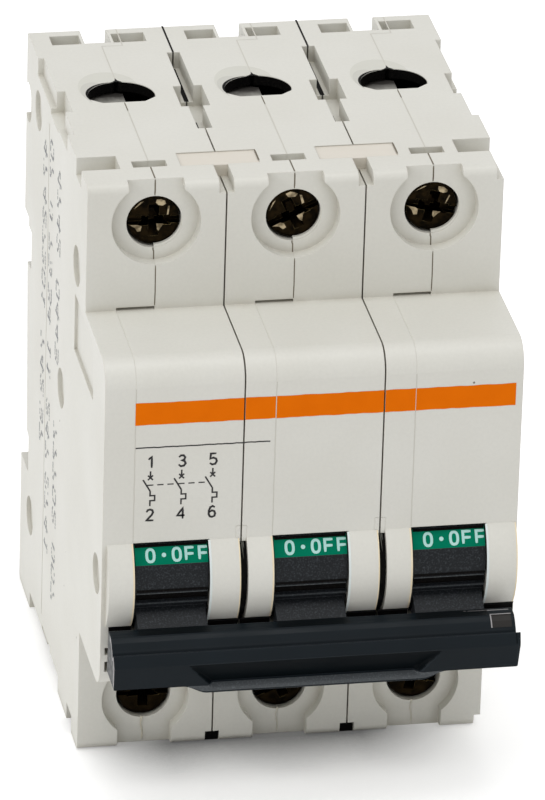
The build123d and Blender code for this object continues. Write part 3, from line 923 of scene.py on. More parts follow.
@dataclass
class FrontMarking:
    """What is pad-printed on the nose: the orange stripe, a rule and a plain pole diagram."""

    stripe: tuple[float, float, float, float] = (-23.0, 26.0, 55.1, 58.2)
    breaks: tuple[Point, ...] = ((-9.1, -8.9), (-5.02, -4.9), (8.9, 9.1), (13.0, 13.08))
    edge_step: float = 0.9
    edge_play: float = 0.04
    rule: tuple[float, float, float] = (-22.9, -5.6, 51.9)
    rule_parts: int = 36
    rule_play: float = 0.03
    rule_wide: float = 0.17
    columns: tuple[float, ...] = (-20.9, -16.9, -12.9)
    diagram_foot: float = 41.6
    diagram_top: float = 50.6
    number_tall: float = 1.55
    number_wide: float = 0.27
    number_left: float = 0.45
    number_gap: float = 0.5
    ink_wide: float = 0.2
    hinge_rise: float = 2.1
    contact_drop: float = 0.9
    cross_half: float = 0.32
    blade: Point = (-0.95, -0.25)
    trip: tuple[Point, ...] = ((0, 1.45), (0.6, 1.45), (0.6, 0.75), (0, 0.75))
    dashes: tuple[float, ...] = (-21.3, -20.0, -18.7, -17.3, -16.0, -14.7)
    dash_long: float = 0.8

    def build(self, shop: Paintshop) -> None:
        """Prints the nose.

        Args:
            shop: The finishes.
        """
        band = Draft("orange_stripe")
        self.print_stripe(Pen(band, NOSE_FACE))
        band.place(shop.stripe)
        black = Draft("pole_diagram")
        pen = Pen(black, NOSE_FACE)
        self.print_rule(pen)
        self.print_diagram(pen)
        black.place(shop.black_ink)

    def print_stripe(self, pen: Pen) -> None:
        """Prints the stripe between the gaps, with edges a little uneven.

        Args:
            pen: The pen that draws it.
        """
        rng = random.Random(11)
        left, right, foot, top = self.stripe
        cuts = [left] + [x for pair in self.breaks for x in pair] + [right]
        for start, end in zip(cuts[::2], cuts[1::2]):
            spots = evenly(start, end, max(2, round((end - start) / self.edge_step)))
            lift, edges = pen.lift(), []
            for z in (foot, top):
                edges.append([pen.face.at(x, z + rng.uniform(-self.edge_play, self.edge_play),
                                          lift) for x in spots])
            pen.draft.skin(edges, closed=False)

    def print_rule(self, pen: Pen) -> None:
        """Prints the thin rule under the stripe, a little uneven.

        Args:
            pen: The pen that draws it.
        """
        rng = random.Random(5)
        left, right, z = self.rule
        pen.line([(x, z + rng.uniform(-self.rule_play, self.rule_play))
                  for x in evenly(left, right, self.rule_parts)], self.rule_wide)

    def print_diagram(self, pen: Pen) -> None:
        """Prints three pole lines with their contacts, trips and terminal numbers.

        Args:
            pen: The pen that draws it.
        """
        text, cross = Lettering(), self.cross_half
        foot = self.diagram_foot + self.number_tall + self.number_gap
        top = self.diagram_top - self.number_tall - self.number_gap
        hinge, contact = foot + self.hinge_rise, top - self.contact_drop
        for number, x in enumerate(self.columns):
            for sign, z in ((2 * number + 1, self.diagram_top - self.number_tall),
                            (2 * number + 2, self.diagram_foot)):
                text.write(pen, str(sign), (x - self.number_left, z), self.number_tall,
                           self.number_wide)
            for path in (
                ((x, top), (x, contact)),
                ((x - cross, contact - cross), (x + cross, contact + cross)),
                ((x - cross, contact + cross), (x + cross, contact - cross)),
                ((x + self.blade[0], contact + self.blade[1]), (x, hinge)),
                ((x, hinge), *((x + u, foot + v) for u, v in self.trip), (x, foot)),
            ):
                pen.line(path, self.ink_wide)
        link_z = (hinge + contact - 0.2) / 2
        for start in self.dashes:
            pen.line([(start, link_z), (start + self.dash_long, link_z)], self.ink_wide * 0.8)


@dataclass
class FlagLegend:
    """The pale 0 and OFF on the green flag of one pole, which turn with the drum."""

    number: int
    centre_x: float
    foot_angle: float = 26.4
    tall: float = 1.58
    stroke: float = 0.36
    signs: tuple[tuple[str, float, float], ...] = (
        ("0", -3.2, 0.98), ("O", 0.2, 0.98), ("F", 1.87, 1.05), ("F", 3.6, 1.05))
    dot_x: float = -0.98
    dot_radius: float = 0.29
    shade_half: float = 4.64
    shade_angles: Point = (40.0, 42.7)
    shade_lift: float = 0.016

    def build(self, shop: Paintshop) -> None:
        """Prints the legend and lays painted shade on the flag under the window's upper edge.

        Args:
            shop: The finishes.
        """
        drum, text, x = DrumFace(), Lettering(), self.centre_x
        draft = Draft(f"flag_legend_{self.number}")
        pen = Pen(draft, drum)
        foot = drum.arc(self.foot_angle)
        for sign, left, wide in self.signs:
            text.write(pen, sign, (x + left, foot), self.tall, self.stroke, wide)
        pen.dot((x + self.dot_x, foot + self.tall / 2), self.dot_radius)
        draft.place(shop.pale_foil, Body.HANDLE, Slot.FLAG)
        # Painted shade under the window's upper edge.
        shade = Draft(f"flag_shade_{self.number}")
        drum.band(shade, (x - self.shade_half, x + self.shade_half), self.shade_angles, 2,
                  self.shade_lift)
        shade.place(shop.soot, Body.HANDLE, Slot.FLAG)


@dataclass
class SideMarking:
    """Three columns of jet-printed figures on the outer left face, all plain and random."""

    level: float = -26.9
    dot_mm: float = 0.27
    pitch_y: float = 0.42
    pitch_z: float = 0.5
    figure_step: float = 3.1
    figure_long: float = 2.0
    inked: float = 0.93
    scatter_y: float = 0.05
    scatter_z: float = 0.06
    dot_sizes: Point = (0.75, 1.15)
    columns: tuple[tuple[float, tuple[Point, ...]], ...] = (
        (21.9, ((72.4, 67.3), (65.7, 57.7), (56.8, 46.1), (44.3, 34.7), (33.8, 29.0))),
        (16.6, ((74.5, 68.3), (65.8, 62.7), (61.0, 54.5), (53.8, 46.2), (45.8, 39.3),
                (37.1, 32.3), (30.6, 26.9), (26.2, 12.9))),
        (10.3, ((73.1, 59.9), (57.4, 46.5), (36.6, 30.9), (30.5, 20.0), (18.9, 9.8))),
    )

    def build(self, shop: Paintshop) -> None:
        """Prints the columns.

        Args:
            shop: The finishes.
        """
        grids = {
            0: ("01110", "10001", "10001", "10001", "10001", "10001", "01110"),
            1: ("00100", "01100", "00100", "00100", "00100", "00100", "01110"),
            2: ("01110", "10001", "00001", "00110", "01000", "10000", "11111"),
            3: ("11110", "00001", "00001", "01110", "00001", "00001", "11110"),
            4: ("00010", "00110", "01010", "10010", "11111", "00010", "00010"),
            7: ("11111", "00001", "00010", "00100", "01000", "01000", "01000"),
        }
        rng = random.Random(29)
        draft = Draft("jet_printed_figures")
        pen = Pen(draft, FlatFace(Facing.SIDE, self.level, -1), layer=0.0)
        for rear_y, words in self.columns:
            for top_z, foot_z in words:
                z = top_z
                while z - self.figure_long > foot_z - 0.6:
                    self.print_figure(pen, rng, grids[rng.choice(sorted(grids))], rear_y, z)
                    z -= self.figure_step
        draft.place(shop.jet_ink)

    def print_figure(self, pen: Pen, rng: random.Random, grid: Sequence[str],
                     rear_y: float, top_z: float) -> None:
        """Prints one figure of five by seven dots, lying on its side.

        Args:
            pen: The pen that draws it.
            rng: What scatters the dots, seeded.
            grid: Its rows of noughts and ones.
            rear_y: The y of its upper edge.
            top_z: The z at which it starts.
        """
        for row, line in enumerate(grid):
            for place, mark in enumerate(line):
                if mark == "1" and rng.random() < self.inked:
                    y = rear_y - row * self.pitch_y + rng.uniform(-self.scatter_y, self.scatter_y)
                    z = top_z - place * self.pitch_z + rng.uniform(-self.scatter_z, self.scatter_z)
                    pen.dot((y, z), self.dot_mm * rng.uniform(*self.dot_sizes), 6)


Run = tuple[FlatFace, tuple[Point, ...], float, float]


@dataclass
class PartingLines:
    """The lines where the two shells of each pole meet, with the dirt that sits in them.

    Each run is a face, a path from the pole's middle, a share of the width, and a taper.
    """

    number: int
    centre_x: float
    wide: float = 0.15
    lift: float = 0.008
    dark: tuple[Run, ...] = (
        (TOP_FACE, ((0, 12.6), (0.02, 9.8)), 1.0, 0.4),
        (TOP_FACE, ((0, -7.75), (0, -11.3)), 1.2, 1.0),
        (GROOVE_FACE, ((0, 80.9), (0.02, 79.4), (0, 78.7)), 1.2, 0.6),
        (GROOVE_FACE, ((-0.1, 71.4), (-0.08, 71.05), (0, 70.95), (0.02, 69.6)), 1.0, 1.0),
        (SHOULDER_FACE, ((0, 69.6), (0.04, 66.0), (0, 64.0)), 0.9, 0.6),
        (SHOULDER_FACE, ((0, 17.3), (0, 13.1)), 1.0, 1.0))
    faint: tuple[Run, ...] = (
        (TOP_FACE, ((2.75, 36.2), (2.75, 30.9), (0, 30.9), (0, 19.4)), 1.0, 1.0),
        (TOP_FACE, ((0.02, 9.8), (0.03, 4.0), (0, -5.75)), 1.0, 1.0))
    nose_span: Point = (60.2, 38.6)
    nose_play: float = 0.025
    nose_wide: float = 0.12

    def build(self, shop: Paintshop) -> None:
        """Lays the lines of one pole.

        Args:
            shop: The finishes.
        """
        dark = Draft(f"parting_line_dark_{self.number}")
        self.lay(dark, self.dark)
        dark.place(shop.line_dirt)
        faint = Draft(f"parting_line_faint_{self.number}")
        self.lay(faint, self.faint)
        rng = random.Random(self.number)
        nose_x = self.centre_x + SEAM_NOSE_X
        Pen(faint, NOSE_FACE, base=0.006).line(
            [(nose_x + rng.uniform(-self.nose_play, self.nose_play), z)
             for z in evenly(*self.nose_span, 30)], self.nose_wide)
        faint.place(shop.line_faint)

    def lay(self, draft: Draft, runs: Sequence[Run]) -> None:
        """Lays some runs, with one pen for each face.

        Args:
            draft: The piece they belong to.
            runs: The runs.
        """
        pens: dict[FlatFace, Pen] = {}
        for face, path, share, taper in runs:
            pen = pens.setdefault(face, Pen(draft, face, base=self.lift))
            pen.line([(self.centre_x + u, v) for u, v in path], self.wide * share, taper=taper)


@dataclass
class TerminalScrew:
    """One terminal screw: a straight slot over a tapered cross, on a threaded shank."""

    head_radius: float = 3.45
    head_tall: float = 2.6
    foot_break: float = 0.2
    face_y: float = -10.9
    shank_radius: float = 2.05
    end_y: float = 10.3
    slot_wide: float = 1.0
    slot_deep: float = 1.1
    cross_span: float = 4.3
    cross_wide: float = 1.35
    cross_foot: float = 1.5
    cross_deep: float = 2.1
    cross_floor: float = 0.75
    clear: float = 0.3
    pitch: float = 0.8
    thread_deep: float = 0.3
    point: tuple[Point, ...] = ((0.3, -0.4), (0.7, 0.0))
    rim: tuple[Point, ...] = ((3.05, 0.0), (0.5, 0.0), (0.18, 0.07), (0.03, 0.28), (0.0, 0.6))
    sides: int = 48
    # Outlines of the painted glints on the head's face.
    worn: tuple[tuple[Point, ...], ...] = (
        ((-3.0, -0.5), (-2.0, -0.52), (-1.55, -0.75), (-1.6, -1.45), (-2.0, -1.5),
         (-2.3, -0.95)),
        ((0.35, -0.52), (1.35, -0.5), (1.1, -0.85), (0.62, -1.5), (0.4, -1.25)),
        ((0.3, 2.9), (0.95, 2.95), (1.45, 2.6), (1.6, 2.2), (1.1, 2.0), (0.55, 2.15),
         (0.3, 2.5)),
        ((-2.6, 1.7), (-1.7, 2.6), (-1.3, 2.72), (-2.2, 1.95)),
        ((1.85, 1.9), (2.05, 1.85), (1.85, 0.75), (1.6, 0.72)))
    worn_play: float = 0.08

    def ring(self, radius: float, y: float) -> list[Vector]:
        """Gives one ring of the head or shank, about the screw's own axis."""
        spots = [on_circle((0, 0), radius, math.tau * k / self.sides) for k in range(self.sides)]
        return [Vector((u, y, v)) for u, v in spots]

    def blank(self) -> bpy.types.Object:
        """Turns the head and shank as one solid, before the recess is struck.

        Returns:
            The solid.
        """
        foot = self.face_y + self.head_tall
        draft = Draft("screw_blank")
        rows = [(self.head_radius - shrink, self.face_y + deep) for shrink, deep in self.rim]
        rows += [(self.head_radius, foot - self.foot_break),
                 (self.head_radius - self.foot_break, foot), (self.shank_radius, foot)]
        turn = foot + self.thread_deep
        while turn < self.end_y - self.pitch:
            rows += [(self.shank_radius, turn),
                     (self.shank_radius - self.thread_deep, turn + self.pitch / 2)]
            turn += self.pitch
        rows += [(self.shank_radius - shrink, self.end_y + back) for shrink, back in self.point]
        rings = [self.ring(radius, y) for radius, y in rows]
        draft.skin(rings)
        draft.face(list(reversed(rings[0])))
        draft.face(rings[-1])
        return self.solid(draft)

    def wing(self, angle: float) -> bpy.types.Object:
        """Shapes one tapered wing of the cross that the punch strikes out.

        Args:
            angle: Which way the wing points, in radians.

        Returns:
            The solid to cut with.
        """
        y, c, s = self.face_y, math.cos(angle), math.sin(angle)
        draft = Draft("screw_wing")
        rings = []
        for level, span, wide in (
                (y - self.clear, self.cross_span + 0.5, self.cross_wide + 0.1),
                (y + self.cross_deep, self.cross_foot, self.cross_floor)):
            a, b = span / 2, wide / 2
            rings.append([Vector((c * u - s * v, level, s * u + c * v))
                          for u, v in ((-a, -b), (a, -b), (a, b), (-a, b))])
        draft.skin(rings)
        draft.face(list(reversed(rings[0])))
        draft.face(rings[1])
        return self.solid(draft)

    def slot(self) -> bpy.types.Object:
        """Shapes the straight slot that is cut across the whole head.

        Returns:
            The solid to cut with.
        """
        y, reach, half = self.face_y - self.clear, self.head_radius + 1, self.slot_wide / 2
        draft = Draft("screw_slot")
        draft.slab([Vector((-reach, y, -half)), Vector((reach, y, -half)),
                    Vector((reach, y, half)), Vector((-reach, y, half))],
                   Vector((0, self.slot_deep + self.clear, 0)))
        return self.solid(draft)

    def solid(self, draft: Draft) -> bpy.types.Object:
        """Makes a plain closed object from a draft, in millimetres, to be cut or cut with."""
        return add_object(draft.name, draft.mesh(1.0, outward=True))

    def strike(self, first: bpy.types.Object, second: bpy.types.Object) -> bpy.types.Object:
        """Cuts one solid with another and takes both away.

        Args:
            first: The solid that is cut.
            second: The solid that cuts it.

        Returns:
            The result as a new object.
        """
        cut = first.modifiers.new("cut", "BOOLEAN")
        cut.operation, cut.solver, cut.object = "DIFFERENCE", "EXACT", second
        graph = bpy.context.evaluated_depsgraph_get()
        mesh = bpy.data.meshes.new_from_object(first.evaluated_get(graph))
        result = add_object(first.name + "_cut", mesh)
        for used in (first, second):
            bpy.data.objects.remove(used)
        return result

    def build(self, shop: Paintshop, wells: dict[str, float], turns: Sequence[float]) -> None:
        """Makes all the screws from one struck head.

        Args:
            shop: The finishes.
            wells: The z of the upper and the lower wells.
            turns: How far each pole's screws are turned, in degrees.
        """
        struck = self.blank()
        for cutter in (self.wing(0.0), self.wing(math.pi / 2), self.slot()):
            struck = self.strike(struck, cutter)
        corners = [v.co.copy() for v in struck.data.vertices]
        faces = [tuple(p.vertices) for p in struck.data.polygons]
        bpy.data.objects.remove(struck)
        for number, (x, turn) in enumerate(zip(POLE_XS, turns), start=1):
            spin = Matrix.Rotation(math.radians(-turn), 4, "Y")
            for place, z in wells.items():
                draft = Draft(f"struck_screw_{place}_{number}")
                draft.points = [Vector((x, 0, z)) + spin @ c for c in corners]
                draft.faces = faces
                draft.place(shop.screw, Body.HOUSING, Slot.SCREW, (f"{place}_screw_{number}",))
                if place == "upper":
                    self.worn_spots(shop, number, Vector((x, 0, z)), spin)

    def worn_spots(self, shop: Paintshop, number: int, centre: Vector, spin: Matrix) -> None:
        """Lays painted glints: pale spots on the head where the light catches the recess and the
        rim.

        Args:
            shop: The finishes.
            number: The pole.
            centre: The screw's axis at y = 0.
            spin: How the screw is turned.
        """
        rng = random.Random(7 * number)
        draft = Draft(f"worn_spots_{number}")
        level, play = self.face_y - 0.012, self.worn_play
        # Painted glints: under the slot beside the wings, along the rim, and one bright streak on
        # the right.
        for patch in self.worn:
            shape = [(u + rng.uniform(-play, play), v + rng.uniform(-play, play))
                     for u, v in patch]
            draft.face([centre + spin @ Vector((u, level, v)) for u, v in shape])
        draft.place(shop.brass, Body.HOUSING, Slot.SCREW)


@dataclass
class EntryLining:
    """What one cable hole shows: a chamber in black painted shade, the pale guide lip on its left.
    """

    number: int
    centre_x: float
    half: float = 5.62
    chamber_y: Point = (9.58, 22.32)
    top_z: float = 79.72
    foot_z: float = 64.9
    hole_radius: float = 4.37
    sleeve_top: float = 80.9
    sleeve_parts: int = 40
    vee_deep: float = 0.72
    lip: tuple[tuple[float, float, float], ...] = (
        (-2.35, 16.6, 79.0), (0.95, 16.6, 79.0), (0.9, 19.3, 79.25), (-1.4, 20.2, 79.25),
        (-3.6, 18.9, 79.15), (-4.05, 17.6, 79.1))
    lip_thick: float = 0.5
    shelf: tuple[tuple[float, float, float], ...] = (
        (1.0, 16.4, 78.5), (4.0, 16.4, 78.5), (3.9, 18.3, 78.5), (1.0, 18.3, 78.5))
    shelf_thick: float = 0.6
    nick: tuple[Point, ...] = (
        (-0.6, 4.3), (0.75, 4.3), (0.25, 4.75), (0.0, 5.5), (-0.12, 4.8))
    burr_arc: Point = (105, 195)
    burr_wide: float = 0.35

    def build(self, shop: Paintshop) -> None:
        """Paints shade on the chambers at both ends and adds the lip and the shelf at the upper
        one.

        Args:
            shop: The finishes.
        """
        x, half = self.centre_x, self.half
        front, rear = self.chamber_y
        plan = ((x + half, front), (x + half, rear), (x - half, rear), (x - half, front))
        self.line_both(shop, "chamber_painted_shade", plan, (self.top_z, self.foot_z))
        for name, finish, corners, thick in (
                ("guide_lip", shop.lip, self.lip, self.lip_thick),
                ("chamber_shelf", shop.ridge, self.shelf, self.shelf_thick)):
            draft = Draft(f"{name}_{self.number}")
            draft.slab([Vector((x + u, y, z)) for u, y, z in corners], Vector((0, 0, -thick)))
            draft.place(finish)
        self.line_both(shop, "entry_painted_shade", self.sleeve(), (self.sleeve_top, self.top_z - 0.1))
        self.torn_edge(shop)

    def line_both(self, shop: Paintshop, name: str, plan: Sequence[Point], levels: Point) -> None:
        """Paints black shade on a wall at the upper entry and, turned over, at the lower one.

        Args:
            shop: The finishes.
            name: The start of the piece's name.
            plan: The wall's outline from above.
            levels: The z of its upper and its lower edge.
        """
        draft = Draft(f"{name}_{self.number}")
        for heights in (levels, [HEIGHT - z for z in levels]):
            draft.skin([[Vector((*spot, z)) for spot in plan] for z in heights], closed=False)
        draft.place(shop.soot)

    def sleeve(self) -> list[Point]:
        """Gives the rear half of the hole's outline, with the vee that the seam leaves.

        Returns:
            The outline from above.
        """
        spots, parts = [], self.sleeve_parts
        for step in range(parts + 1):
            radius = self.hole_radius + (self.vee_deep if step == parts // 2 else 0.0)
            spots.append(on_circle((self.centre_x, HOLE_Y), radius, math.pi * step / parts))
        return spots

    def torn_edge(self, shop: Paintshop) -> None:
        """Paints black shade in the nick where the seam meets the hole and a crescent at its left.

        Args:
            shop: The finishes.
        """
        draft = Draft(f"entry_nick_{self.number}")
        level, hole = HEIGHT + 0.012, (self.centre_x, HOLE_Y)
        draft.face([Vector((hole[0] + u, hole[1] + v, level)) for u, v in self.nick])
        rings: list[list[Vector]] = [[], []]
        for step, degrees in enumerate(evenly(*self.burr_arc, 16)):
            crescent_reach = self.burr_wide * math.sin(math.pi * step / 16)
            for ring, radius in zip(rings, (self.hole_radius, self.hole_radius + 0.03 + crescent_reach)):
                ring.append(Vector((*on_circle(hole, radius, math.radians(degrees)), level)))
        draft.skin(rings, closed=False)
        draft.place(shop.soot)


@dataclass
class EntryDish:
    """Painted shade of a shallow dish behind one upper cable hole, deeper on its left."""

    number: int
    centre_x: float
    near: float = 4.42
    dish_y: float = 17.0
    half_x: float = 5.6
    half_y: float = 6.0
    end_power: float = 0.6

    def build(self, shop: Paintshop) -> None:
        """Lays the dish's painted shade and, over its left part, a deeper painted shade.

        Args:
            shop: The finishes.
        """
        # Two crescents of painted shade, the second darker.
        for name, finish, angles, share, lift in (
                ("dish", shop.dish, (55, 205), 1.0, 0.006),
                ("darkening", shop.dish_deep, (120, 205), 0.62, 0.011)):
            draft = Draft(f"entry_{name}_{self.number}")
            draft.skin(self.rings(angles, share, HEIGHT + lift), closed=False)
            draft.place(finish)

    def rings(self, angles: Point, share: float, level: float) -> list[list[Vector]]:
        """Gives the inner and the outer edge of one crescent.

        Args:
            angles: Where it starts and ends, in degrees round the hole.
            share: How much of the dish it covers.
            level: The z it lies at.

        Returns:
            The two edges.
        """
        inner, outer = [], []
        for step, degrees in enumerate(evenly(*angles, 24)):
            angle = math.radians(degrees)
            taper = share * math.sin(math.pi * step / 24) ** self.end_power
            near = Vector((*on_circle((self.centre_x, HOLE_Y), self.near, angle), level))
            far = Vector((self.centre_x + self.half_x * math.cos(angle),
                          self.dish_y + self.half_y * math.sin(angle), level))
            inner.append(near)
            outer.append(near.lerp(far, taper))
        return [inner, outer]


@dataclass
class GapSoot:
    """Painted shade in the narrow gaps between neighbouring poles, and the web above each cheek
    slot.
    """

    notch_half: float = 0.93
    notch_y: float = -12.3
    notch_deep: float = 4.3
    notch_z: Point = (0.1, 1.68)
    plug_radius: float = 7.95
    plug_half: float = 0.66
    plug_rear_y: float = -25.3
    plug_z: Point = (25.1, 39.9)
    plug_arc: Point = (65, -65)
    web_x: Point = (0.1, 0.7)
    web_z: Point = (37.9, 40.08)
    web_deep: float = 3.9
    top_runs: tuple[tuple[float, float, float, float], ...] = (
        (36.6, 28.0, 81.0, 0.25), (27.8, 17.1, 78.65, 0.6), (16.9, 10.6, 78.0, 0.5),
        (10.4, 3.5, 78.65, 0.3))

    def build(self, shop: Paintshop) -> None:
        """Fills the gaps with black painted shade.

        Args:
            shop: The finishes.
        """
        soot, web = Draft("gap_painted_shade"), Draft("cheek_slot_webs")
        near, far = self.web_x
        for x in GAP_XS:
            self.front_slab(soot, (x - self.notch_half, x + self.notch_half), self.notch_y,
                            self.notch_z, self.notch_deep)
            self.plug_slot(soot, x)
            for side in (-1, 1):
                self.front_slab(web, (x + side * near, x + side * far), NOSE_Y, self.web_z,
                                self.web_deep)
            for rear, front, level, wide in self.top_runs:
                pen = Pen(soot, FlatFace(Facing.TOP, level, 1), base=0.008)
                pen.line([(x, rear), (x, front)], wide)
        soot.place(shop.soot)
        web.place(shop.case)

    def front_slab(self, draft: Draft, sides: Point, y: float, levels: Point,
                   deep: float) -> None:
        """Adds an upright block.

        Args:
            draft: The piece it belongs to.
            sides: The x of its two sides.
            y: Its front.
            levels: The z of its foot and its top.
            deep: How far it reaches back.
        """
        (a, b), (foot, top) = sides, levels
        draft.slab([Vector((a, y, foot)), Vector((b, y, foot)), Vector((b, y, top)),
                    Vector((a, y, top))], Vector((0, deep, 0)))

    def plug_slot(self, soot: Draft, x: float) -> None:
        """Fills the slot between two cheeks with painted shade, to just under their round faces.

        Args:
            soot: The piece that it belongs to.
            x: The middle of the gap.
        """
        rings, drum = [], DrumFace(self.plug_radius)
        for side in (-1, 1):
            edge = x + side * self.plug_half
            ring = [Vector((edge, self.plug_rear_y, z)) for z in self.plug_z]
            for degrees in evenly(*self.plug_arc, 16):
                spot = drum.at(edge, drum.arc(degrees), 0.0)
                spot.y = min(spot.y, self.plug_rear_y - 0.1)
                ring.append(spot)
            rings.append(ring)
        soot.skin(rings)
        soot.face(rings[0])
        soot.face(list(reversed(rings[1])))


@dataclass
class DrumShade:
    """Painted shade in one toggle drum's grip bands, painted highlights on the ridges beside them.
    """

    number: int
    centre_x: float
    half: float = 4.62
    bands: tuple[tuple[Point, float], ...] = (((-3.0, -0.4), 0.012), ((-14.9, -7.2), -0.58))
    ridges: tuple[float, ...] = (-4.6, -16.0)
    glints: float = 0.14

    def build(self, shop: Paintshop) -> None:
        """Lays the bands' painted shade and the ridges' painted highlights on the drum.

        Args:
            shop: The finishes.
        """
        drum = DrumFace()
        dark, bright = Draft(f"drum_bands_{self.number}"), Draft(f"drum_ridges_{self.number}")
        sides = (self.centre_x - self.half, self.centre_x + self.half)
        for angles, lift in self.bands:
            drum.band(dark, sides, angles, 3, lift)
        for angle in self.ridges:
            Pen(bright, drum).line([(x, drum.arc(angle)) for x in sides], self.glints)
        dark.place(shop.soot, Body.HANDLE, Slot.TOGGLE)
        bright.place(shop.ridge, Body.HANDLE, Slot.TOGGLE)


@dataclass
class WellLedge:
    """The right shell's smaller hole, which shows as a pale ledge beside each upper head."""

    number: int
    centre_x: float
    centre_z: float = 75.0
    outer: float = 3.62
    inner: float = 3.2
    level_y: float = -11.32
    arc: Point = (-90, 18)
    wall_deep: float = 0.5

    def build(self, shop: Paintshop) -> None:
        """Lays the ledge, widest at its foot and fading out to the right.

        Args:
            shop: The finishes.
        """
        draft = Draft(f"well_ledge_{self.number}")
        rings: list[list[Vector]] = [[], []]
        for step, degrees in enumerate(evenly(*self.arc, 18)):
            inner = self.inner + (self.outer - 0.02 - self.inner) * (step / 18) ** 2
            for ring, radius in zip(rings, (self.outer, inner)):
                x, z = on_circle((self.centre_x, self.centre_z), radius, math.radians(degrees))
                ring.append(Vector((x, self.level_y, z)))
        draft.skin(rings, closed=False)
        wall = [p + Vector((0, self.wall_deep, 0)) for p in rings[1]]
        draft.skin([rings[1], wall], closed=False)
        draft.place(shop.case)


@dataclass
class MouldingFlash:
    """The thin torn rib of flash on the seam under one lower well."""

    number: int
    centre_x: float
    strength: float
    foot_z: float = 0.4
    top_z: float = 3.75
    half: float = 0.1
    tall: float = 0.26
    aside: float = 0.15
    wander: float = 0.12
    play: float = 0.04
    crumb_from: float = 0.86
    crumb: float = 1.9

    def build(self, shop: Paintshop) -> None:
        """Raises the rib, ragged along its length, with a torn crumb at its top.

        Args:
            shop: The finishes.
        """
        rng = random.Random(40 + self.number)
        draft = Draft(f"seam_flash_{self.number}")
        rings, rows = [], 22
        for row, z in enumerate(evenly(self.foot_z, self.top_z, rows)):
            share = row / rows
            x = self.centre_x - self.aside + self.wander * math.sin(7 * share)
            x += rng.uniform(-self.play, self.play)
            torn = 1.0 + self.crumb * max(0.0, share - self.crumb_from) / (1 - self.crumb_from)
            wide = self.half * self.strength * rng.uniform(0.7, 1.3) * torn
            tall = self.tall * self.strength * rng.uniform(0.5, 1.2)
            tall *= 0.4 if row in (0, rows) else 1.0
            rings.append([Vector((x - wide, GROOVE_Y, z)), Vector((x, GROOVE_Y - tall, z)),
                          Vector((x + wide, GROOVE_Y, z))])
        draft.skin(rings, closed=False)
        draft.place(shop.flash)


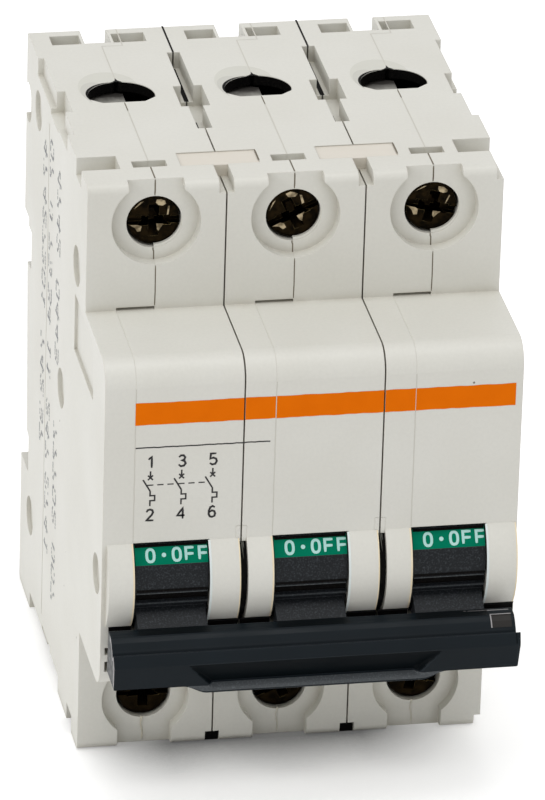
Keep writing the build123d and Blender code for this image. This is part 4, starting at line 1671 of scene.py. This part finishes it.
@dataclass
class TieBar:
    """The bar over the three levers, with its groove, its thumb scoop and the lip below."""

    left: float = -26.35
    right: float = 26.0
    nub_right: float = 26.45
    nub_draft: float = 0.35
    foot_z: float = 21.5
    lip_left: float = -14.2
    lip_right: float = 13.6
    lip_run: float = 3.3
    scoop_run: float = 3.0
    scoop_top: float = 24.65
    scoop_foot: float = 21.6
    scoop_deep: float = 1.1
    scoop_edge: float = 0.8
    scoop_rows: int = 21
    face_y: float = -37.0
    face_lean: float = 0.05
    end_break: float = 0.12
    end_share: float = 0.98
    middle: Point = (-34.3, 24.5)
    close_spans: tuple[Point, ...] = ((-18.2, -13.0), (12.6, 18.2))
    close_step: float = 0.16
    plain_step: float = 0.85
    lever_half: float = 4.7
    mark_x: Point = (22.95, 25.55)
    mark_line_x: Point = (22.82, 22.98)
    mark_rows: tuple[Point, ...] = (
        (-33.72, 27.54), (-34.02, 27.41), (-34.52, 27.03), (-35.08, 26.36))
    mark_strokes: tuple[tuple[float, float, float, float], ...] = (
        (22.82, 25.6, -33.62, -33.76), (20.2, 25.5, -32.5, -32.6),
        (19.65, 19.95, -32.4, -32.62))
    mark_z: Point = (27.6, 27.57)
    shade_rows: tuple[Point, ...] = ((-32.1, 27.6), (-33.0, 27.58), (-33.7, 27.53))
    rub_rows: tuple[Point, ...] = ((-31.97, 27.55), (-32.12, 27.6))
    polish_run: float = 2.9
    polish_from: float = 0.04
    rub_runs: Point = (2.6, 2.8)
    rim_middle: Point = (-34.9, 23.6)
    rim_reach: Point = (0.05, 0.7)
    back: tuple[Point, ...] = (
        (-31.3, 21.5), (-31.5, 23.5), (-31.7, 25.5), (-31.88, 27.3), (-31.95, 27.5),
        (-32.15, 27.58), (-33.0, 27.56), (-33.7, 27.51), (-34.0, 27.38), (-34.5, 27.0),
        (-35.1, 26.27))
    groove: tuple[Point, ...] = (
        (-35.3, 26.05), (-35.42, 25.75), (-35.62, 25.62), (-35.85, 25.75), (-36.02, 26.0),
        (-36.17, 26.02), (-36.4, 25.7), (-36.7, 25.2), (-36.93, 24.85))
    lip: tuple[Point, ...] = (
        (-36.78, 21.02), (-36.84, 20.9), (-36.84, 20.65), (-36.8, 20.42), (-36.6, 20.3),
        (-35.0, 20.3), (-34.6, 20.45))

    def build(self, shop: Paintshop) -> None:
        """Makes the bar and its small marks.

        Args:
            shop: The finishes.
        """
        bar = Draft("tie_bar_moulding")
        first = self.section(self.left, self.end_share)
        rings = [first] + [self.section(x) for x in self.stations()]
        bar.skin(rings)
        bar.face(list(reversed(first)))
        bar.face(rings[-1])
        self.nub(bar)
        bar.place(shop.bar, Body.HANDLE, Slot.TIE_BAR, ("handle_tie_bar",))
        # Painted shade: scoop, lever fronts. Painted highlights: lip, lever edges, left rim.
        for name, finish, shape in (
                ("bar_scoop_painted_shade", shop.scoop, self.scoop_shade),
                ("bar_lip_highlight", shop.lip_rub, self.lip_rub),
                ("bar_lever_shade", shop.bar_mark, self.lever_shade),
                ("bar_lever_highlight", shop.ridge, self.lever_rub),
                ("bar_slide_mark", shop.stain, self.slide_mark),
                ("bar_slide_witness_lines", shop.rim, self.rubbed_lines),
                ("bar_rim_highlight", shop.rim, self.worn_rim)):
            draft = Draft(name)
            shape(draft)
            draft.place(finish, Body.HANDLE, Slot.TIE_BAR)

    def stations(self) -> list[float]:
        """Gives the places along the bar where its outline is cut, close at the scoop's ends.

        Returns:
            The x of each outline.
        """
        places, x = [], self.left + self.end_break
        while x < self.right:
            places.append(x)
            close = any(start < x < end for start, end in self.close_spans)
            x += self.close_step if close else self.plain_step
        return [*places, self.right]

    def section(self, x: float, share: float = 1.0) -> list[Vector]:
        """Gives the outline of the bar at one place along it.

        Args:
            x: Where it is cut.
            share: How far the outline is drawn in, to break the edge at the end.

        Returns:
            The outline's corners.
        """
        drop = self.ease((x - self.lip_left + self.lip_run) / self.lip_run)
        drop *= self.ease((self.lip_right + self.lip_run - x) / self.lip_run)
        outline = [*self.back, *self.groove]
        for z in evenly(self.scoop_top, self.scoop_foot, self.scoop_rows):
            lean = self.face_lean * (self.scoop_top - z)
            outline.append((self.face_y + lean + self.scoop(x, z), z))
        outline += [(y, self.foot_z + (z - self.foot_z) * drop) for y, z in self.lip]
        middle = Vector(self.middle)
        points = [middle + (Vector(p) - middle) * share for p in outline]
        return [Vector((x, q.x, q.y)) for q in points]

    def ease(self, share: float) -> float:
        """Gives a share held between 0 and 1 and eased at both ends."""
        held = min(1.0, max(0.0, share))
        return held * held * (3 - 2 * held)

    def scoop(self, x: float, z: float) -> float:
        """Gives how deep the thumb scoop is at one place of the face.

        Args:
            x: The place along the bar.
            z: The height on its face.

        Returns:
            The depth in millimetres.
        """
        fall = (self.scoop_top - z) / (self.scoop_top - self.scoop_foot)
        rise = self.scoop_run * (1 - fall)
        inside = min(x - self.lip_left + rise, self.lip_right + rise - x)
        return self.scoop_deep * fall ** 0.85 * self.ease(inside / self.scoop_edge)

    def nub(self, bar: Draft) -> None:
        """Adds the short end of the front face that runs on past the back of the bar.

        Args:
            bar: The piece that is shaped.
        """
        face = [(-36.99, 24.6), (-36.9, 23.0), (-36.85, 21.6)]
        front = [p for p in self.groove if p[0] < -35.6] + face
        front += [(-36.2, self.foot_z), (-35.6, self.foot_z)]
        near = [Vector((self.right - 0.2, y, z)) for y, z in front]
        far = [Vector((self.nub_right - self.nub_draft * (26.1 - z) / 4.6, y, z))
               for y, z in front]
        bar.skin([near, far])
        bar.face(far)

    def scoop_shade(self, shade: Draft) -> None:
        """Lays painted shade, a darker tone, on the scoop's floor.

        Args:
            shade: The piece that is shaped.
        """
        first = len(self.back) + len(self.groove) + 1
        left, right = self.lip_left - self.polish_run, self.lip_right + self.polish_run
        places = [x for x in self.stations() if left < x < right]
        for x, following in zip(places, places[1:]):
            near, far = self.section(x), self.section(following)
            for row in range(first, first + self.scoop_rows - 1):
                corners = (near[row], far[row], far[row + 1], near[row + 1])
                if min(self.scoop(c.x, c.z) for c in corners) > self.polish_from:
                    shade.face([c + Vector((0, -0.012, -0.005)) for c in corners])

    def lip_rub(self, highlight_strip: Draft) -> None:
        """Lays a painted highlight, a lighter grey, along the sloped top of the lip.

        Args:
            highlight_strip: The piece that is shaped.
        """
        rings = []
        left, right = self.lip_left - self.rub_runs[0], self.lip_right + self.rub_runs[1]
        for x in self.stations():
            if left < x < right:
                floor, crest, front, foot = self.section(x)[-len(self.lip) - 1:][:4]
                slope = crest - floor
                out = Vector((0, slope.z, -slope.y)).normalized() * 0.02
                rings.append([floor.lerp(crest, 0.25) + out, crest + Vector((0, -0.012, 0.016)),
                              front + Vector((0, -0.02, 0)), foot + Vector((0, -0.02, 0))])
        highlight_strip.skin(rings, closed=False)

    def lever_shade(self, shade: Draft) -> None:
        """Lays the painted shadow in front of each lever.

        Args:
            shade: The piece that is shaped.
        """
        for x in POLE_XS:
            self.strip(shade, (x - self.lever_half, x + self.lever_half), self.shade_rows)

    def lever_rub(self, rubbed: Draft) -> None:
        """Lays a painted highlight along the top edge where each lever enters the bar.

        Args:
            rubbed: The piece that is shaped.
        """
        for x in POLE_XS:
            self.strip(rubbed, (x - self.lever_half, x + self.lever_half), self.rub_rows)

    def slide_mark(self, mark: Draft) -> None:
        """Lays the witness of the mould's slide near the right end."""
        self.strip(mark, self.mark_x, self.mark_rows)

    def rubbed_lines(self, lines: Draft) -> None:
        """Lays the pale outline of the slide's witness and two scratches beside it.

        Args:
            lines: The piece that is shaped.
        """
        self.strip(lines, self.mark_line_x, [(y, z + 0.004) for y, z in self.mark_rows])
        high, low = self.mark_z
        for left, right, rear, front in self.mark_strokes:
            lines.face([Vector((left, rear, high)), Vector((right, rear, high)),
                        Vector((right, front, low)), Vector((left, front, low))])

    def worn_rim(self, rim: Draft) -> None:
        """Lays a painted highlight, a pale rim, along the front edge of the left end.

        Args:
            rim: The piece that is shaped.
        """
        edge = [*self.back[-5:], *self.groove, (-36.99, 24.4), (-36.93, 23.4), (-36.85, 21.6)]
        middle, rings = Vector(self.rim_middle), []
        for drawn_in in self.rim_reach:
            spots = [Vector(p) - (Vector(p) - middle).normalized() * drawn_in for p in edge]
            rings.append([Vector((self.left - 0.012, *spot)) for spot in spots])
        rim.skin(rings, closed=False)

    def strip(self, draft: Draft, sides: Point, rows: Sequence[Point]) -> None:
        """Adds a strip along the bar.

        Args:
            draft: The piece it belongs to.
            sides: The x of its two ends.
            rows: The y and z of each of its rows.
        """
        draft.skin([[Vector((x, *row)) for x in sides] for row in rows], closed=False)


@dataclass
class CheekTrim:
    """Creamy painted highlights on one pole's cheek edges, and black painted shade at their foot.
    """

    number: int
    centre_x: float
    radius: float = 8.7
    half_angle: float = 42.4
    foot_angles: Point = (-38.5, -38.2)
    first_foot: float = -41.8
    inner_x: float = 4.96
    outer_x: float = 8.85
    first_outer_x: float = 7.9
    recess_z: Point = (26.62, 24.4)
    cream: Point = (-5.08, 8.66)
    cream_wide: Point = (0.22, 0.16)
    flank_x: float = 4.88
    flank_wide: float = 0.3
    edge_x: float = 8.22
    overlap_wide: float = 0.5
    gap_radius: float = 7.95
    gap_shades: tuple[Point, ...] = ((0.5, 0.72), (0.3, 0.5))

    def build(self, shop: Paintshop) -> None:
        """Lays the painted highlights on the edges and the painted shade of the recess.

        Args:
            shop: The finishes.
        """
        x, cheek = self.centre_x, DrumFace(self.radius)
        left_foot, right_foot = self.foot_angles
        if self.number == 1:
            left_foot = self.first_foot
        top, low = cheek.arc(self.half_angle), cheek.arc(right_foot)
        edges, flank = Draft(f"cheek_edges_{self.number}"), Draft(f"cheek_flank_{self.number}")
        # Painted highlights: creamy lines along both edges of the cheeks.
        pen = Pen(edges, cheek, base=0.006)
        for across, wide, end in zip(self.cream, self.cream_wide, (-top, low)):
            pen.line([(x + across, top), (x + across, end)], wide)
        edges.place(shop.cream)
        # Painted highlight: a pale line down the inner flank.
        across = x + self.flank_x
        Pen(flank, cheek, base=0.006).line([(across, top), (across, low)], self.flank_wide)
        flank.place(shop.flank)
        self.overlap(shop, cheek, low, top)
        # Painted shade: the recess at the cheeks' foot, black.
        foot = Draft(f"cheek_foot_{self.number}")
        outer = x - (self.first_outer_x if self.number == 1 else self.outer_x)
        head_z, foot_z = self.recess_z
        for left, right, start in ((outer, x - self.inner_x, left_foot),
                                   (x + self.inner_x, x + self.outer_x, right_foot)):
            cheek.band(foot, (left, right), (start, -self.half_angle), 3, 0.02)
            Pen(foot, NOSE_FACE).fill([(left, head_z), (right, head_z), (right, foot_z),
                                       (left, foot_z)])
        foot.place(shop.soot)

    def overlap(self, shop: Paintshop, cheek: DrumFace, low: float, top: float) -> None:
        """Carries the right cheek on over the gap to the next pole and shades the gap's top.

        Args:
            shop: The finishes.
            cheek: The cheek's round face.
            low: Where the cheek ends below.
            top: Where it ends above.
        """
        edge = self.centre_x + self.edge_x
        outer = edge + self.overlap_wide
        side = Draft(f"cheek_side_{self.number}")
        side.skin([[cheek.at(edge, row, 0.0), cheek.at(outer, row, 0.0),
                    cheek.at(outer, row, -0.5)] for row in evenly(low, top, 24)], closed=False)
        side.place(shop.case)
        if self.number < len(POLE_XS):
            shade = Draft(f"gap_top_{self.number}")
            pen = Pen(shade, DrumFace(self.gap_radius), base=0.3)
            # Two wedges, one in the other, let the shade thin out downwards.
            for wide, share in self.gap_shades:
                pen.fill([(edge + 0.68, 0.99 * top), (edge + 0.7 + wide, 0.99 * top),
                          (edge + 0.85 + wide / 2, share * top)])
            shade.place(shop.recess)


@dataclass
class KeyGaps:
    """The fine gaps round the link keys: dark at the right end and faint behind and left."""

    half: float = 5.1
    rear_y: float = -3.9
    front_y: float = -7.9
    dark_wide: float = 0.2
    faint_wide: float = 0.1

    def build(self, shop: Paintshop) -> None:
        """Lays the lines.

        Args:
            shop: The finishes.
        """
        dark, faint = Draft("key_gaps_dark"), Draft("key_gaps_faint")
        for x in GAP_XS:
            left, right = x - self.half, x + self.half
            Pen(dark, TOP_FACE, base=0.01).line(
                [(right, self.rear_y), (right, self.front_y + 0.5)], self.dark_wide, taper=0.5)
            Pen(faint, TOP_FACE, base=0.006).line(
                [(right, self.rear_y), (left, self.rear_y), (left, self.front_y)],
                self.faint_wide)
        dark.place(shop.line_dirt, slot=Slot.KEY)
        faint.place(shop.line_faint, slot=Slot.KEY)


@dataclass
class Studio:
    """A pale sweep and soft boxes, with the white surround that the camera sees."""

    floor_half: float = 1.5
    floor_lift: float = 0.34
    contact_mm: float = 16.0
    contact_level: float = 0.22
    contact_x_mm: float = -2.0
    contact_fade_mm: Point = (13.0, 27.0)
    left_spot: tuple[float, float, float] = (-1.05, -0.35, 0.62)
    top_spot: tuple[float, float, float] = (-0.05, -0.2, 1.05)
    aim: tuple[float, float, float] = (0.0, 0.0, 0.04)
    power: float = 2.8
    surround_level: float = 0.68

    def build(self) -> None:
        """Makes the floor, the lamps and the world."""
        self.sweep()
        self.lamp("left_softbox", self.left_spot, 0.4)
        self.lamp("top_softbox", self.top_spot, 0.5)
        self.surround()

    def sweep(self) -> None:
        """Makes the floor, white to the camera, catching the shadow, and with a painted contact
        shadow.
        """
        mesh = bpy.data.meshes.new("floor")
        half = self.floor_half
        mesh.from_pydata([(-half, -half, 0), (half, -half, 0), (half, half, 0), (-half, half, 0)],
                         [], [(0, 1, 2, 3)])
        floor = add_object("floor", mesh)
        material = bpy.data.materials.new("floor_paper")
        material.use_nodes = True
        tree = material.node_tree
        tree.nodes.clear()
        fibre = add_node(tree, "ShaderNodeTexNoise", {"Scale": per_metre(2.0)})
        paper = add_node(tree, "ShaderNodeMix",
                         {"data_type": "RGBA", 6: linear("#FBFBFB"), 7: linear("#F8F8F8")},
                         {0: fibre.outputs["Fac"]})
        # Painted contact shadow: the paper darkens in a soft band where it meets the breaker, most
        # in the middle.
        near = add_node(tree, "ShaderNodeAmbientOcclusion",
                        {"samples": 16, "Distance": self.contact_mm * MM})
        dark = add_node(tree, "ShaderNodeMapRange",
                        {"From Min": 0.5, "From Max": 0.97, "To Min": self.contact_level,
                         "To Max": 1.0}, {"Value": near.outputs["AO"]})
        spot = add_node(tree, "ShaderNodeNewGeometry")
        axes = add_node(tree, "ShaderNodeSeparateXYZ", {}, {0: spot.outputs["Position"]})
        middle = add_node(tree, "ShaderNodeMath",
                          {"operation": "SUBTRACT", 1: self.contact_x_mm * MM},
                          {0: axes.outputs["X"]})
        aside = add_node(tree, "ShaderNodeMath", {"operation": "ABSOLUTE"}, {0: middle.outputs[0]})
        start, end = self.contact_fade_mm
        fade = add_node(tree, "ShaderNodeMapRange", {"From Min": start * MM, "From Max": end * MM},
                        {"Value": aside.outputs[0]})
        shade = add_node(tree, "ShaderNodeMix", {"data_type": "FLOAT", "B": 1.0},
                         {"Factor": fade.outputs[0], "A": dark.outputs[0]})
        shaded = add_node(tree, "ShaderNodeVectorMath", {"operation": "SCALE"},
                          {0: paper.outputs[2], "Scale": shade.outputs[0]})
        shader = add_node(tree, "ShaderNodeBsdfDiffuse", {}, {"Color": shaded.outputs[0]})
        # The lamps leave white paper a little grey. What the camera and gloss see is lifted to
        # white by a plain glow, and the shadow stays as far below it as it is without.
        level = add_node(tree, "ShaderNodeMath", {"operation": "MULTIPLY", 1: self.floor_lift},
                         {0: self.seen(tree).outputs[0]})
        lift = add_node(tree, "ShaderNodeMath", {"operation": "MULTIPLY"},
                        {0: level.outputs[0], 1: shade.outputs[0]})
        glow = add_node(tree, "ShaderNodeEmission", {}, {"Strength": lift.outputs[0]})
        both = add_node(tree, "ShaderNodeAddShader", {},
                        {0: shader.outputs[0], 1: glow.outputs[0]})
        add_node(tree, "ShaderNodeOutputMaterial", {}, {"Surface": both.outputs[0]})
        mesh.materials.append(material)

    def seen(self, tree: bpy.types.NodeTree) -> bpy.types.Node:
        """Adds a node that is 1 for the camera, gloss and what is seen through clear parts.

        Args:
            tree: The node tree.

        Returns:
            The node.
        """
        path = add_node(tree, "ShaderNodeLightPath")
        direct = add_node(tree, "ShaderNodeMath", {"operation": "ADD"},
                          {0: path.outputs["Is Camera Ray"], 1: path.outputs["Is Glossy Ray"]})
        return add_node(tree, "ShaderNodeMath", {"operation": "ADD", "use_clamp": True},
                        {0: direct.outputs[0], 1: path.outputs["Is Transmission Ray"]})

    def lamp(self, name: str, spot: Sequence[float], size: float) -> None:
        """Adds one square softbox that faces the breaker.

        Args:
            name: The lamp's name.
            spot: Where it stands, in metres.
            size: Its side in metres.
        """
        data = bpy.data.lights.new(name, "AREA")
        data.size = size
        data.energy = self.power
        lamp = add_object(name, data)
        lamp.location = Vector(spot)
        aim = Vector(self.aim) - Vector(spot)
        lamp.rotation_euler = aim.to_track_quat("-Z", "Y").to_euler()

    def surround(self) -> None:
        """Makes the world: white to the camera and to gloss, soft grey light elsewhere."""
        world = bpy.data.worlds.new("studio")
        bpy.context.scene.world = world
        world.use_nodes = True
        tree = world.node_tree
        tree.nodes.clear()
        level = add_node(tree, "ShaderNodeMapRange",
                         {"To Min": self.surround_level, "To Max": 1.0},
                         {"Value": self.seen(tree).outputs[0]})
        light = add_node(tree, "ShaderNodeBackground", {"Color": (1, 1, 1, 1)},
                         {"Strength": level.outputs[0]})
        add_node(tree, "ShaderNodeOutputWorld", {}, {"Surface": light.outputs[0]})


@dataclass
class PhotoCamera:
    """The camera, solved from points measured in the photograph."""

    spot: tuple[float, float, float] = (-0.17824, -0.90858, 0.49477)
    right: tuple[float, float, float] = (0.98339, -0.17934, 0.02787)
    up: tuple[float, float, float] = (0.05404, 0.43591, 0.89836)
    back: tuple[float, float, float] = (-0.17326, -0.88194, 0.43837)
    lens: float = 521.5

    def build(self) -> None:
        """Makes the camera and hands it to the scene."""
        data = bpy.data.cameras.new("photo_camera")
        data.sensor_fit = "HORIZONTAL"
        data.sensor_width = 36.0
        data.lens = self.lens
        data.clip_start = 0.05
        data.clip_end = 10.0
        camera = add_object("photo_camera", data)
        turn = Matrix((self.right, self.up, self.back)).transposed().to_4x4()
        camera.matrix_world = Matrix.Translation(self.spot) @ turn
        bpy.context.scene.camera = camera


def main() -> None:
    """Builds the pieces in order and reports each."""
    logging.basicConfig(level=logging.INFO, format="%(name)s: %(message)s")
    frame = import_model()
    bpy.context.scene.view_settings.view_transform = "Standard"
    PhotoCamera().build()
    Studio().build()
    shop = Paintshop()
    Housing(shop).dress(frame["nodes"])
    FrontMarking().build(shop)
    SideMarking().build(shop)
    for number, x in enumerate(POLE_XS, start=1):
        for part in (PartingLines, FlagLegend, DrumShade, EntryLining, EntryDish, WellLedge,
                     CheekTrim):
            part(number, x).build(shop)
        MouldingFlash(number, x, strength=1.0 if number == 1 else 0.45).build(shop)
    TerminalScrew().build(shop, {"upper": 75.0, "lower": 7.2}, turns=(0.0, 25.0, -13.0))
    GapSoot().build(shop)
    KeyGaps().build(shop)
    TieBar().build(shop)


if __name__ == "__main__":
    main()
